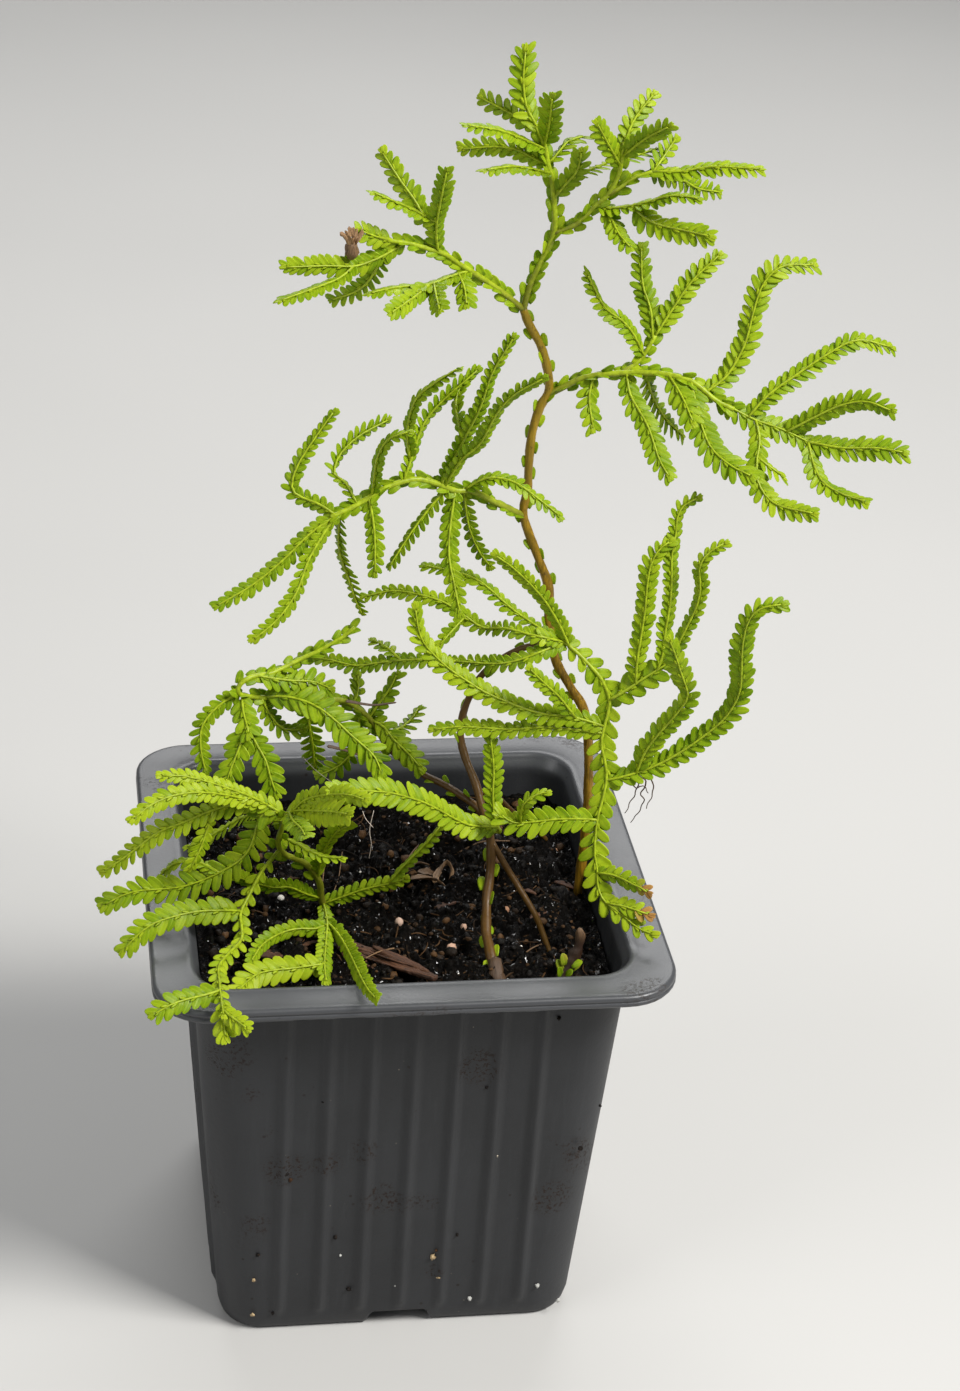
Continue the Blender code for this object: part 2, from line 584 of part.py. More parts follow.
def build_right_spray():
    spray = Spray("right_spray")
    spray.stem(((22.5, 171.2, 10), (24.9, 172.5, 9.5), (27.4, 173.8, 9), (30.3, 174.6, 8),
               (34.7, 175, 7), (39.5, 175, 5.5), (42.8, 174.6, 4.5), (47, 173.3, 3), (51.2, 170, 1.5),
               (54.5, 168.3, 0.5)), 0.65, 0.5, 1.2)
    spray.stem(((34.7, 175, 7), (37.8, 177.5, 8), (39.9, 181.7, 9)), 0.45, 0.4)
    spray.frond(3.8, -3, ((50.5, 170.6), (54.5, 168.3), (58.3, 166.3), (62, 165), (65.8, 163.3),
                          (69.4, 161.4)))
    spray.frond(3.8, -10, ((68, 162), (74.1, 160.9), (80.3, 160.8), (85, 160)))
    spray.frond(3.2, 12, ((39.9, 181.7), (42.4, 186.3), (45.3, 191.3), (49.3, 195.6)))
    spray.frond(3.4, 15, ((39.6, 181.2), (38.7, 186.3), (37, 190.8), (36.3, 196.9)))
    spray.frond(2.6, 6, ((38, 178.4), (36.2, 181.7), (34.1, 184.2), (30.8, 186.7), (27.7, 192.1)))
    spray.frond(3.0, 4, ((29.7, 174.6), (29.4, 170.8), (30.5, 165.2)))
    spray.frond(3.6, -8, ((35.3, 175), (36.6, 170.8), (39.9, 165.4), (42.4, 159.2), (44.3, 156.1)))
    spray.frond(2.8, 8, ((38.7, 175), (40.3, 170.6), (42.8, 166.7), (46, 163.6)))
    spray.frond(4.0, -4, ((42.8, 174.6), (45.3, 170.8), (47.6, 166.2)))
    spray.frond(4.4, -12, ((46.6, 173.2), (48.7, 166.7), (51.2, 161.3), (54.9, 157.9), (58.6, 155.9)))
    spray.frond(3.8, 10, ((49.3, 171.8), (52.8, 174.4), (55.3, 180), (56.2, 185.8), (57.4, 190.8),
                          (60.3, 193.8), (65.4, 194)))
    spray.frond(3.2, 4, ((57, 167), (60.3, 170.8), (64.5, 174.2), (69.5, 177.9), (74.5, 180.6),
                         (80.7, 179.3)))
    spray.frond(2.6, -8, ((64.6, 163.9), (68.7, 166.7), (72.8, 168.8), (77.4, 169.6), (81.9, 167.9)))
    spray.frond(3.0, -16, ((68.4, 161.8), (69.5, 157.9), (71.6, 154.4), (75.3, 152.1), (79.4, 150.7)))
    spray.frond(3.4, -14, ((58.3, 166.3), (59.6, 162.5), (59.5, 158.3), (60.3, 154.2), (63.7, 150.4),
                           (70.4, 148.6)))
    spray.frond(1.8, -6, ((59.6, 159.6), (61.8, 157.4), (64.3, 155.7)))
    return spray.finish()


def build_left_spray():
    spray = Spray("left_spray")
    spray.stem(((19.6, 149.0, 8.4), (15.2, 151.2, 6), (10.8, 153.6, 4), (7.6, 153.8, 3),
               (4.4, 155.2, 2), (0.8, 156, 1), (-3.6, 154.8, 0), (-6.8, 152.8, -1), (-10, 150.8, -2),
               (-13.2, 149.2, -3)), 0.7, 0.5, 1.2)
    spray.frond(3.0, -4, ((9, 153.8), (13.2, 156), (17.6, 155.2), (22, 152), (25.8, 148.8)))
    spray.frond(3.0, 2, ((9.2, 153.6), (10.4, 147.2), (12.4, 142.4), (14.4, 139.6)))
    spray.frond(3.8, -7, ((8, 153.8), (7.2, 147.2), (7.2, 141.6), (8.4, 136), (9.6, 130.8)))
    spray.frond(2.8, -2, ((6.4, 154.4), (3.2, 150), (0.4, 145.6), (-2.7, 140)))
    spray.frond(3.4, -6, ((-6.8, 152.8), (-6, 148), (-5.6, 144), (-5.4, 138.8)))
    spray.frond(3.6, -10, ((-11.6, 150), (-16.8, 146), (-20.8, 141.6), (-26, 136.8), (-32, 132.9)))
    spray.frond(2.6, -14, ((-12.8, 149.4), (-16.8, 141.6), (-18.8, 135.2), (-22, 130), (-25.8, 126.4)))
    spray.frond(2.4, 1, ((-11.4, 150), (-11.6, 143.2), (-10, 138), (-8.4, 133.2), (-7.4, 131)))
    spray.frond(3.2, 4, ((-12.4, 149.6), (-15.2, 151.6), (-18, 152.8), (-20, 154.4), (-19.2, 158.4),
                         (-16.8, 162.8), (-13.4, 168.2)))
    spray.frond(2.2, 9, ((-9.2, 151.3), (-11.2, 155.6), (-13, 156.8), (-12.4, 160.4), (-9.2, 164),
                         (-4.4, 166.9)))
    spray.frond(2.4, -8, ((-6, 153.4), (-6, 156.8), (-5.6, 160), (-4, 163.2), (-0.7, 164.5)))
    spray.frond(2.2, 7, ((-1.6, 155.5), (0, 160.4), (1.6, 166), (4.4, 170), (10.2, 175.7)))
    spray.frond(2.2, -5, ((0, 160), (-0.8, 164.8), (0.4, 170.4), (3.6, 173.4), (7, 175.8)))
    spray.frond(2.8, -2, ((5.4, 154.8), (7.6, 160.8), (9.2, 164.4), (11.2, 169.2), (12.8, 175.2),
                          (15.9, 181.2)))
    spray.frond(2.4, 9, ((8.8, 163.6), (7.2, 168.8), (7.6, 172.4), (9.7, 175.8)))
    spray.frond(2.2, -8, ((6, 154.6), (8.4, 159.6), (11.4, 162.4), (14, 168), (16.8, 171.4),
                          (21.3, 174.1)))
    return spray.finish()


def build_right_shoot():
    spray = Spray("right_shoot")
    axis = ((23.6, 124, -3.6), (26, 124.5, -5), (28.4, 124.3, -5.8), (31, 122, -7), (33.4, 119.4, -8),
            (35.4, 117, -9), (37.2, 113, -10), (37.2, 109.5, -11), (36.6, 106, -12), (36.6, 103, -13),
            (37.4, 100, -14), (38, 96.6, -15), (37.6, 92, -16.5), (37, 88.5, -17.5), (36.8, 84, -18.5),
            (37, 80, -19.5), (37.7, 77, -20.5), (37.9, 74, -21.5), (38.6, 71.6, -22.5),
            (39.7, 69.8, -23.5), (42, 67.8, -25.4), (44, 66, -26.6), (45.6, 64.4, -27.8),
            (47.2, 63.2, -29), (48.8, 62.6, -30))
    spray.stem(axis[:3], 0.55, 0.5, 0.8, 2.5)
    spray.frond(5.2, -30, axis[2:], 4.8)
    spray.frond(5.0, -12, ((37.3, 112.6), (39, 113.6), (41, 115), (43, 116.6), (45, 118),
                           (47.2, 119.6)), 4.4)
    spray.frond(2.8, -8, ((29, 123.7), (28, 126.6), (26, 130.2), (24, 133.2), (21, 136.6), (18, 139.5),
                          (15.4, 141.4)))
    spray.frond(3.0, 8, ((28, 124.4), (26, 125.8), (23.5, 127.4), (21, 129.2), (18, 131.6), (14, 135.5),
                         (11, 137.5), (8, 138.5), (3.2, 139.7)))
    spray.frond(3.4, 6, ((28, 124.4), (24.5, 125.4, -8), (22, 126, -7), (18, 127.3, -5), (14, 127.5),
                         (11, 129.5), (7, 132.5), (3, 134), (-2, 135), (-7, 134)))
    spray.frond(3.8, -1, ((28, 124.2), (24, 122.4, -8), (21, 121.1, -8), (18, 120.4, -7),
                          (15, 120.4, -5), (12, 120.7, -3), (9.4, 121, -1)))
    spray.frond(3.4, 11, ((9.6, 121), (6, 121.4, 1.5), (2, 121.5), (-2, 121.3), (-5, 120.9),
                          (-8, 120.5), (-11, 121.3), (-14, 122.1), (-17.4, 122.3)))
    spray.frond(3.0, 9, ((-0.2, 121.4), (-2.6, 123.8), (-5.3, 125.4)))
    spray.frond(1.8, -4, ((10, 130), (8.2, 127), (6.4, 124.6)))
    spray.frond(3.6, -8, ((36.6, 106), (33, 106.4), (29, 107), (25, 107.3), (20, 107), (15, 107.5),
                          (10, 107.8), (6.3, 107.4)))
    spray.frond(4.4, -8, ((36.8, 107), (33, 108.6), (29.5, 109.5), (26, 109.9), (22.5, 111),
                          (19, 112.6), (15, 114.6), (11.6, 117), (8.2, 119.6), (5.6, 122.2), (3.4, 125),
                          (2.4, 128), (1.9, 131.2)))
    spray.frond(3.4, -14, ((31.5, 109), (30, 111), (28.2, 113.4), (26, 115.6), (24.2, 117.4),
                           (22.7, 119)))
    spray.frond(4.0, -8, ((41.8, 115.6), (41.7, 120), (42, 125), (42.3, 130), (42.3, 135), (42.6, 139),
                          (43.8, 142), (45.5, 143.5)))
    spray.frond(3.0, -6, ((45.4, 118.3), (46.2, 121.5), (46.2, 126), (46.6, 131), (46.5, 136),
                          (46.1, 141), (46.5, 145), (46.4, 148), (47.3, 150.4), (49.6, 151.8)))
    spray.frond(3.0, -12, ((47.1, 119.5), (48.4, 121.6), (49.5, 125), (50.6, 128), (51.7, 131.4),
                           (51.9, 135), (51.3, 138.4), (52.5, 141), (55.2, 143)))
    spray.frond(4.6, -21, ((38, 95.8), (41, 96.6), (44, 97.6), (47, 98.8), (50, 100.6), (53, 102.8),
                           (56, 105.4), (58.5, 108), (60.2, 111), (61, 114.2), (60.8, 118), (60.5, 122),
                           (60.7, 126), (61.6, 129), (63.6, 130.5), (66.6, 130.9)))
    spray.frond(4.2, -22, ((43, 97.4), (44.6, 101.6), (46.6, 105), (48.8, 108), (50.8, 111),
                           (51.6, 113), (50.8, 115.4), (49.7, 118), (48.6, 121), (47.3, 124)))
    spray.frond(5.4, -16, ((37, 88.3), (33, 88), (29, 88), (25, 87.6), (21.5, 87.6), (19.3, 89.2)))
    spray.frond(2.2, -18, ((22.4, 88), (23, 91), (24.6, 92.8), (27, 93.8)))
    spray.frond(3.0, -27, ((37.9, 76.8), (40, 76), (42.4, 75), (44.2, 73.8), (45.8, 73), (47.4, 71.8)))
    spray.frond(3.8, -28, ((39.8, 69.9), (42, 69.1), (44, 68.5), (46, 67.6), (48, 66.8)))
    return spray.finish()


def build_low_spray():
    spray = Spray("low_spray")
    spray.stem(((17.2, 86.4, -8.3), (19.0, 85.8, -11.0), (18.6, 86.8, -12.5)), 0.5, 0.45, 1.5, 2.0)
    spray.frond(4.8, -25, ((18.6, 86.8), (14, 87.2), (11, 88.6), (8, 90.6), (5, 92.4), (2, 93.6),
                           (-1, 94.6), (-4, 95), (-7.5, 95.2), (-11, 95.4)))
    spray.frond(3.4, -9, ((18.6, 86.8), (17.9, 89.5), (17.4, 94), (17.3, 99), (16.4, 105.2)))
    return spray.finish()


def build_shade_spray():
    spray = Spray("shade_spray")
    spray.stem(((-3.4, 106.6, 9.0), (-4.4, 108.6, 9.2), (-6, 110.6, 9), (-9.5, 113.4, 8), (-14, 114, 6),
               (-18, 114.5, 4), (-23, 114.6, 2), (-27, 115, 0), (-28.6, 115.8, -1), (-28, 117.6, -1),
               (-26, 118.9, 0), (-22.5, 119.6, 2), (-18, 122, 4), (-14, 124, 5), (-10.5, 126.3, 6),
               (-8.6, 128, 6.4)), 0.6, 0.42, 0.7, 3.4)
    spray.frond(3.2, -6, ((-28.6, 115.2), (-31, 114), (-33, 112), (-34.6, 109.5), (-35, 106.5),
                          (-34.7, 103), (-34, 100.2)))
    spray.frond(4.2, -7, ((-28, 115), (-27.6, 112), (-27, 109.6), (-26.6, 107.8)))
    spray.frond(4.6, -11, ((-26.8, 108.6), (-25, 105), (-23.5, 102), (-22.6, 98.5), (-21.7, 95.6)))
    spray.frond(4.6, -10, ((-27, 109), (-28.2, 104.5), (-29.4, 101), (-30.3, 97.8)))
    spray.frond(5.2, -9, ((-24, 114.6), (-21, 114.8), (-18, 114.2), (-15, 112.8), (-12.5, 110.8),
                          (-10.5, 108.8), (-8.3, 106.4), (-6, 104.2), (-4, 101.8), (-3, 99)))
    spray.frond(4.4, 3, ((-25.5, 119), (-21.5, 118.2), (-18.5, 117.8), (-15.5, 117.6), (-12.6, 116.2)))
    spray.frond(3.2, 0, ((-24.5, 114.6), (-22.6, 110.6), (-20.5, 108.2), (-17.3, 108)))
    spray.frond(4.2, 9, ((-16.5, 114.2), (-16, 109.5), (-15.3, 105), (-14.8, 100.6)))
    spray.frond(4.2, 12, ((-7, 111.4), (-7.4, 107), (-8.2, 103.4), (-10.6, 100.4), (-13.8, 98.8)))
    spray.frond(4.4, 2, ((-5, 109.6), (-3, 108.4), (-1, 105.6), (1.5, 102.9), (3.8, 100)))
    spray.frond(2.6, 12, ((-1.8, 106.8), (0.6, 108), (2.2, 109.8), (3.2, 111.6)))
    spray.frond(2.4, 12, ((-8.6, 112.8), (-7.6, 115.5), (-7.8, 118.6)))
    spray.frond(2.8, 11, ((-5.6, 110), (-3.4, 113.4), (-2, 115.6), (-0.9, 118.4)))
    return spray.finish()


def build_left_shoot():
    spray = Spray("left_shoot")
    spray.stem(((-12.2, 65.6, -3), (-12.2, 70, -3), (-13, 73, -4), (-13.3, 76, -5), (-14.8, 79, -6.5),
               (-17, 81, -8), (-19.6, 82.3, -9.5), (-21, 84.5, -11), (-20.4, 88, -13),
               (-19.6, 91, -15)), 0.75, 0.5, spacing=3.0)
    chain = ((-20.6, 83.4, -10.4), (-23.5, 79.5, -12), (-25, 76.5, -13.5), (-26.4, 73, -15.5),
             (-27.6, 70, -18), (-27.2, 66.5, -21.5), (-27.4, 64, -25), (-29.4, 61.6, -29),
             (-31.4, 58.6, -34), (-31.2, 55, -40), (-30.8, 51, -45.5), (-30.4, 48, -49.5))
    spray.frond(3.4, -49.5, chain, 4.8)
    spray.frond(4.6, -51.5, ((-30.6, 50.4), (-30.4, 47), (-30, 43.2)), 3.4)
    spray.frond(4.4, -47.5, ((-31, 53.5), (-34, 52.4, -43.4), (-37, 51.7, -45), (-40, 50.6, -46.4),
                             (-42.8, 48.8)))
    spray.frond(3.6, -53, ((-30.5, 49), (-28.6, 47), (-26.2, 44.8)), 3.4)
    spray.frond(3.0, -30, ((-12.4, 71.4), (-11.8, 68, -9.8), (-11.8, 65, -14.6), (-12, 61, -21.4),
                           (-12, 57.5, -27), (-11.6, 54.6, -31)))
    spray.frond(2.8, -48, ((-11.8, 68.2), (-9.6, 65, -15), (-8, 62, -21), (-6.5, 58.6, -30.5),
                           (-5, 55, -39), (-3.6, 52.2, -44.4), (-2.2, 50.4)))
    spray.frond(3.0, -24, ((-12, 67.4), (-14, 66.2, -13), (-16.5, 66.4, -13.5), (-19, 66, -14.5),
                           (-21.5, 64.8, -16.6), (-23.8, 62.8, -19.6), (-25.4, 59.8)))
    spray.frond(5.0, -36, ((-12, 58.6), (-15, 58, -26.5), (-18, 57.6, -27), (-21, 57.4, -28),
                           (-24, 56.8, -29.6), (-26.2, 55, -32), (-28.2, 52.4)))
    spray.frond(2.6, -12.5, ((-12.9, 72.6), (-16, 74), (-19, 75.6), (-21.5, 75.4), (-24, 76.2),
                             (-27, 77.4), (-29.2, 78.8)))
    spray.frond(3.0, -4, ((-12.6, 71.8), (-9, 73), (-6, 74.2), (-3, 75), (0, 75.6), (2, 76.4)))
    spray.frond(2.0, -5, ((-0.4, 75.7), (2.5, 79.6), (5, 82.6), (7, 85.2), (8.2, 87)))
    spray.frond(2.6, -15, ((-13.6, 77), (-13.2, 81.4), (-12, 84.6), (-10.4, 87), (-8.2, 88.2)))
    spray.frond(2.0, -18, ((-20.8, 86), (-18, 84.6), (-15, 82.6), (-12.4, 81.4), (-9.6, 81.2)))
    spray.frond(2.4, -5, ((-20.2, 89), (-24, 91, -9), (-28, 90, -6), (-31, 88, -5), (-34, 86, -5),
                          (-37, 84.5)))
    spray.frond(4.2, -16, ((-19.9, 90.4), (-24, 93.2), (-28, 93), (-31, 92.6), (-34, 91.5), (-38, 89.6),
                           (-42, 88), (-45, 85.6), (-48, 83), (-51.7, 80.2)))
    spray.frond(3.2, -20, ((-22.6, 92.6), (-26, 94.6), (-30, 96.4), (-34, 98), (-38, 99.2),
                           (-41.6, 99.4)))
    spray.frond(3.8, -27, ((-24.4, 93.4), (-30, 95), (-35, 95.8), (-40, 95.2), (-44, 93.2),
                           (-46.5, 90.8)))
    spray.frond(5.6, -15, ((-20.8, 91.4), (-23.6, 91.4), (-24.8, 88.5), (-25.6, 85), (-27.2, 82),
                           (-30, 79.8), (-34, 77.6), (-38, 76.2), (-42, 75.8), (-46, 75.6), (-49, 74.6),
                           (-51.6, 73)))
    spray.frond(5.0, -26, ((-27.4, 71), (-31, 70.8, -19.5), (-35, 70.8, -20.5), (-39, 70, -22),
                           (-43, 68.6, -23.5), (-46, 66.2, -25), (-48.3, 63.4)))
    spray.frond(5.4, -36, ((-19.6, 91), (-17, 91.5), (-14, 91.2), (-11.5, 91), (-8.8, 90.4)))
    spray.frond(3.6, -33, ((-18.6, 91.4), (-16, 93.8), (-12, 94.6), (-8.5, 94.4), (-5.8, 93.4)))
    spray.frond(4.0, -38, ((-19.2, 91), (-18.4, 89.3), (-17, 87.8), (-16.2, 86.2)), 3.4)
    spray.frond(2.4, -17, ((-32.6, 92.2), (-33.8, 88), (-35, 84), (-36.6, 80.2)))
    spray.frond(2.4, -11, ((-31.6, 79), (-34.5, 80.9, -12.5), (-37.5, 81.6, -12), (-40, 80.7, -11.5),
                           (-42, 78.6, -11), (-43, 77)))
    return spray.finish()


def main():
    clear_scene()
    build_pot()
    soil = build_soil()
    for points, radius in ((LEADER, 0.85), (ARCH, 1.0), (PROP_FRONT[::-1], 0.6), (PROP_REAR[::-1], 0.6),
                           (((-12.2, 65.6, -3), (-12.2, 70, -3), (-13, 73, -4)), 0.75)):
        cut(soil, stem_hole(points, radius))
    build_leader()
    build_arch()
    build_crown()
    build_upper_left()
    build_right_spray()
    build_left_spray()
    build_right_shoot()
    build_low_spray()
    build_shade_spray()
    build_left_shoot()


main()
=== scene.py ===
# A spikemoss in its square nursery pot, standing on a plain table under soft studio light.
# Routes and sizes are in millimetres and the finished meshes are in metres. The origin is the
# middle of the pot's foot, +Z is up and the front of the pot faces -Y.
# Stem and frond routes were read on the upright plane y = 0. A third number in a route
# point is its depth y, which moves the point along the sight line.
import math

import bpy
import numpy as np
from bpy.props import FloatProperty, FloatVectorProperty, IntProperty, PointerProperty
from mathutils import Matrix, Vector


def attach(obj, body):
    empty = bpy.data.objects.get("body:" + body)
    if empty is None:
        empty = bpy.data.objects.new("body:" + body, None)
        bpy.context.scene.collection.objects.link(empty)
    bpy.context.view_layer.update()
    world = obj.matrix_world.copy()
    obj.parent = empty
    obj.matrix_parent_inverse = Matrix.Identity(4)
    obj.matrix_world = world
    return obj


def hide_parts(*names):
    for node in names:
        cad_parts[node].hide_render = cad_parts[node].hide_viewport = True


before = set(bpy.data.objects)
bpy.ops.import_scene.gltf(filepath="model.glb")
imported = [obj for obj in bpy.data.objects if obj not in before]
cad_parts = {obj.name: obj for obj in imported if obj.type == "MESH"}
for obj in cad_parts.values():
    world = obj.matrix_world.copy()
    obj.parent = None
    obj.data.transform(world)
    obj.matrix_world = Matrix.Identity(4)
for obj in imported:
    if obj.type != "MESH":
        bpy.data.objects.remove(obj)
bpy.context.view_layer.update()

bl_info = {
    "name": "Potted spikemoss",
    "version": (1, 0, 0),
    "blender": (4, 5, 0),
    "location": "3D View > Sidebar > Spikemoss",
    "description": "Builds a leafy spikemoss with its soil and its square nursery pot",
    "category": "Add Mesh",
}

MM = 0.001

# Sizes in millimetres. They are the solids' own, except the notch's height: the picture shows the
# notch higher than the solid has it.
POT_HEIGHT = 80.0
WALL_TOP = 76.0
WALL_FOOT = 65.0
WALL_CORNER = 8.0
WALL_THICK = 1.2
FLOOR_TOP = 4.5
NOTCH_WIDE = 13.0
NOTCH_NARROW = 10.0
NOTCH_HIGH = 3.4
NOTCH_DEEP = 13.0
DRAIN_WIDE = 9.0
DRAIN_HIGH = 4.0
RIB_COUNT = 7
RIB_PITCH = 7.4
RIB_WIDE = 3.0
SOIL_FOOT = 4.8
SOIL_LEVEL = 72.0
SOIL_LUMPS = 0.9
LEAST_WIDTH = 3.3

# The eye, and the way it looks, in degrees
EYE = np.array([-61.47, -440.37, 359.41])
EYE_TURN = -9.726
EYE_PITCH = 28.772
EYE_ROLL = 3.389
LENS = 75.0
SENSOR_HEIGHT = 36.0

# Steps along the old stems and the sprays' stems, and where the dried stub stands
STEM_STEP = 0.9
SPRAY_STEM_STEP = 0.8
STUB_AT = (33.0, 53.2)

LEADER = (
    (34.2, 67.6, 0.6), (34.4, 73.0, 0.8), (34.9, 85.0, 1.5), (34.6, 98.0, 2.2), (33.2, 109.5, 3.0),
    (30.0, 115.5, 4.0), (27.0, 121.0, 4.5), (25.4, 128.0, 5.0), (25.0, 134.8, 6.0), (22.8, 140.8, 7.0),
    (20.8, 145.6, 8.0), (19.6, 149.6, 8.5), (20.1, 153.6, 9.0), (20.0, 158.0, 9.2), (20.2, 164.0, 9.5),
    (21.2, 168.8, 10.0), (22.6, 172.4, 10.0), (21.2, 178.8, 9.5), (18.4, 184.0, 9.0),
    (17.4, 186.4, 8.7),
)
ARCH = (
    (20.5, 49.5, -27.4), (20.2, 53.2, -27.0), (19.4, 57.0, -25.0), (18.6, 60.5, -22.5),
    (17.8, 64.0, -19.5), (17.6, 68.0, -16.5), (17.5, 72.0, -14.0), (17.8, 76.0, -12.0),
    (17.8, 80.0, -10.5), (17.5, 84.0, -9.0), (17.0, 87.0, -8.0), (15.6, 91.0, -6.5), (14.2, 96.0, -4.0),
    (12.2, 101.0, -1.0), (11.0, 105.5, 1.0), (11.1, 110.0, 2.0), (12.2, 114.0, 2.0), (14.0, 118.0, 1.0),
    (17.5, 121.4, -1.0), (21.0, 123.3, -2.6), (23.6, 124.0, -3.6),
)
PROP_FRONT = (
    (17.8, 83.5, -9.2), (20.0, 79.5, -10.5), (22.0, 76.0, -11.5), (24.0, 72.5, -13.0),
    (26.5, 68.0, -15.0), (28.0, 64.5, -16.0), (29.6, 60.0, -17.6), (30.6, 57.0, -18.6),
)
PROP_REAR = (
    (14.6, 94.6, -4.8), (18.0, 93.2, 1.0), (20.5, 90.6, 6.0), (24.0, 87.4, 12.0), (28.0, 83.4, 18.0),
    (29.6, 80.0, 20.0),
)
SIDE_STEM = (
    (17.0, 87.4, -8.0), (15.0, 90.8, -4.5), (12.0, 93.4, -2.0), (8.5, 96.0, 1.0), (5.0, 98.0, 4.0),
    (2.0, 100.5, 6.0), (-1.5, 103.5, 8.0), (-3.4, 106.6, 9.0),
)


def factor(name, description, default, low, high):
    return FloatProperty(name=name, description=description, default=default, min=low, max=high,
                         subtype="FACTOR")


def small_length(name, description, default, high):
    return FloatProperty(name=name, description=description, default=default, min=0.0, max=high,
                         unit="LENGTH", precision=5)


def whole(name, description, default, high):
    return IntProperty(name=name, description=description, default=default, min=0, max=high)


def tint(name, description, default):
    return FloatVectorProperty(name=name, description=description, default=default, size=3, min=0.0,
                               max=1.0, subtype="COLOR")


class SpikemossSizes(bpy.types.PropertyGroup):
    """Sizes that a user would change."""

    leaf_length: factor("Leaf length", "Side leaf length against the usual one", 1.0, 0.5, 1.5)
    leaf_width: factor("Leaf width", "Side leaf width against the room it has", 1.16, 0.2, 2.0)
    leaf_closeness: factor("Leaf closeness", "How tightly leaves follow each other", 1.0, 0.5, 2.0)
    leaf_droop: factor("Leaf droop", "How far leaf tips hang below the frond", 0.10, 0.0, 0.6)
    rib_proud: small_length("Rib height", "How far the pot's ribs stand proud", 0.00085, 0.002)
    crumb_height: small_length("Crumb height", "Height of the crumbs in the soil", 0.0022, 0.004)
    crumb_count: whole("Crumbs", "Loose crumbs on the soil", 1100, 3000)
    fibre_count: whole("Fibres", "Fine fibres on the soil", 300, 1000)


class SpikemossColours(bpy.types.PropertyGroup):
    """Colours that a user would change."""

    young: tint("Young leaf", "Lit yellow green of young leaves", (0.32, 0.41, 0.012))
    grown: tint("Grown leaf", "Middle green of the fronds", (0.150, 0.245, 0.003))
    deep: tint("Deep leaf", "Darkest green of the fronds", (0.040, 0.088, 0.002))
    bark: tint("Old stem", "Brown of the old stems", (0.245, 0.135, 0.008))
    plastic: tint("Pot", "Blue grey of the pot", (0.0235, 0.0245, 0.0265))
    peat: tint("Soil", "Damp soil", (0.0022, 0.0013, 0.0006))
    table: tint("Table", "The plain table top", (0.50, 0.495, 0.48))


# Shader nodes
class Value:
    """A shader socket that takes part in Python sums."""

    def __init__(self, look, socket):
        self.look = look
        self.socket = socket

    def __add__(self, other):
        return self.look.sum("ADD", self, other)

    def __sub__(self, other):
        return self.look.sum("SUBTRACT", self, other)

    def __rsub__(self, other):
        return self.look.sum("SUBTRACT", other, self)

    def __mul__(self, other):
        return self.look.sum("MULTIPLY", self, other)

    __radd__ = __add__
    __rmul__ = __mul__


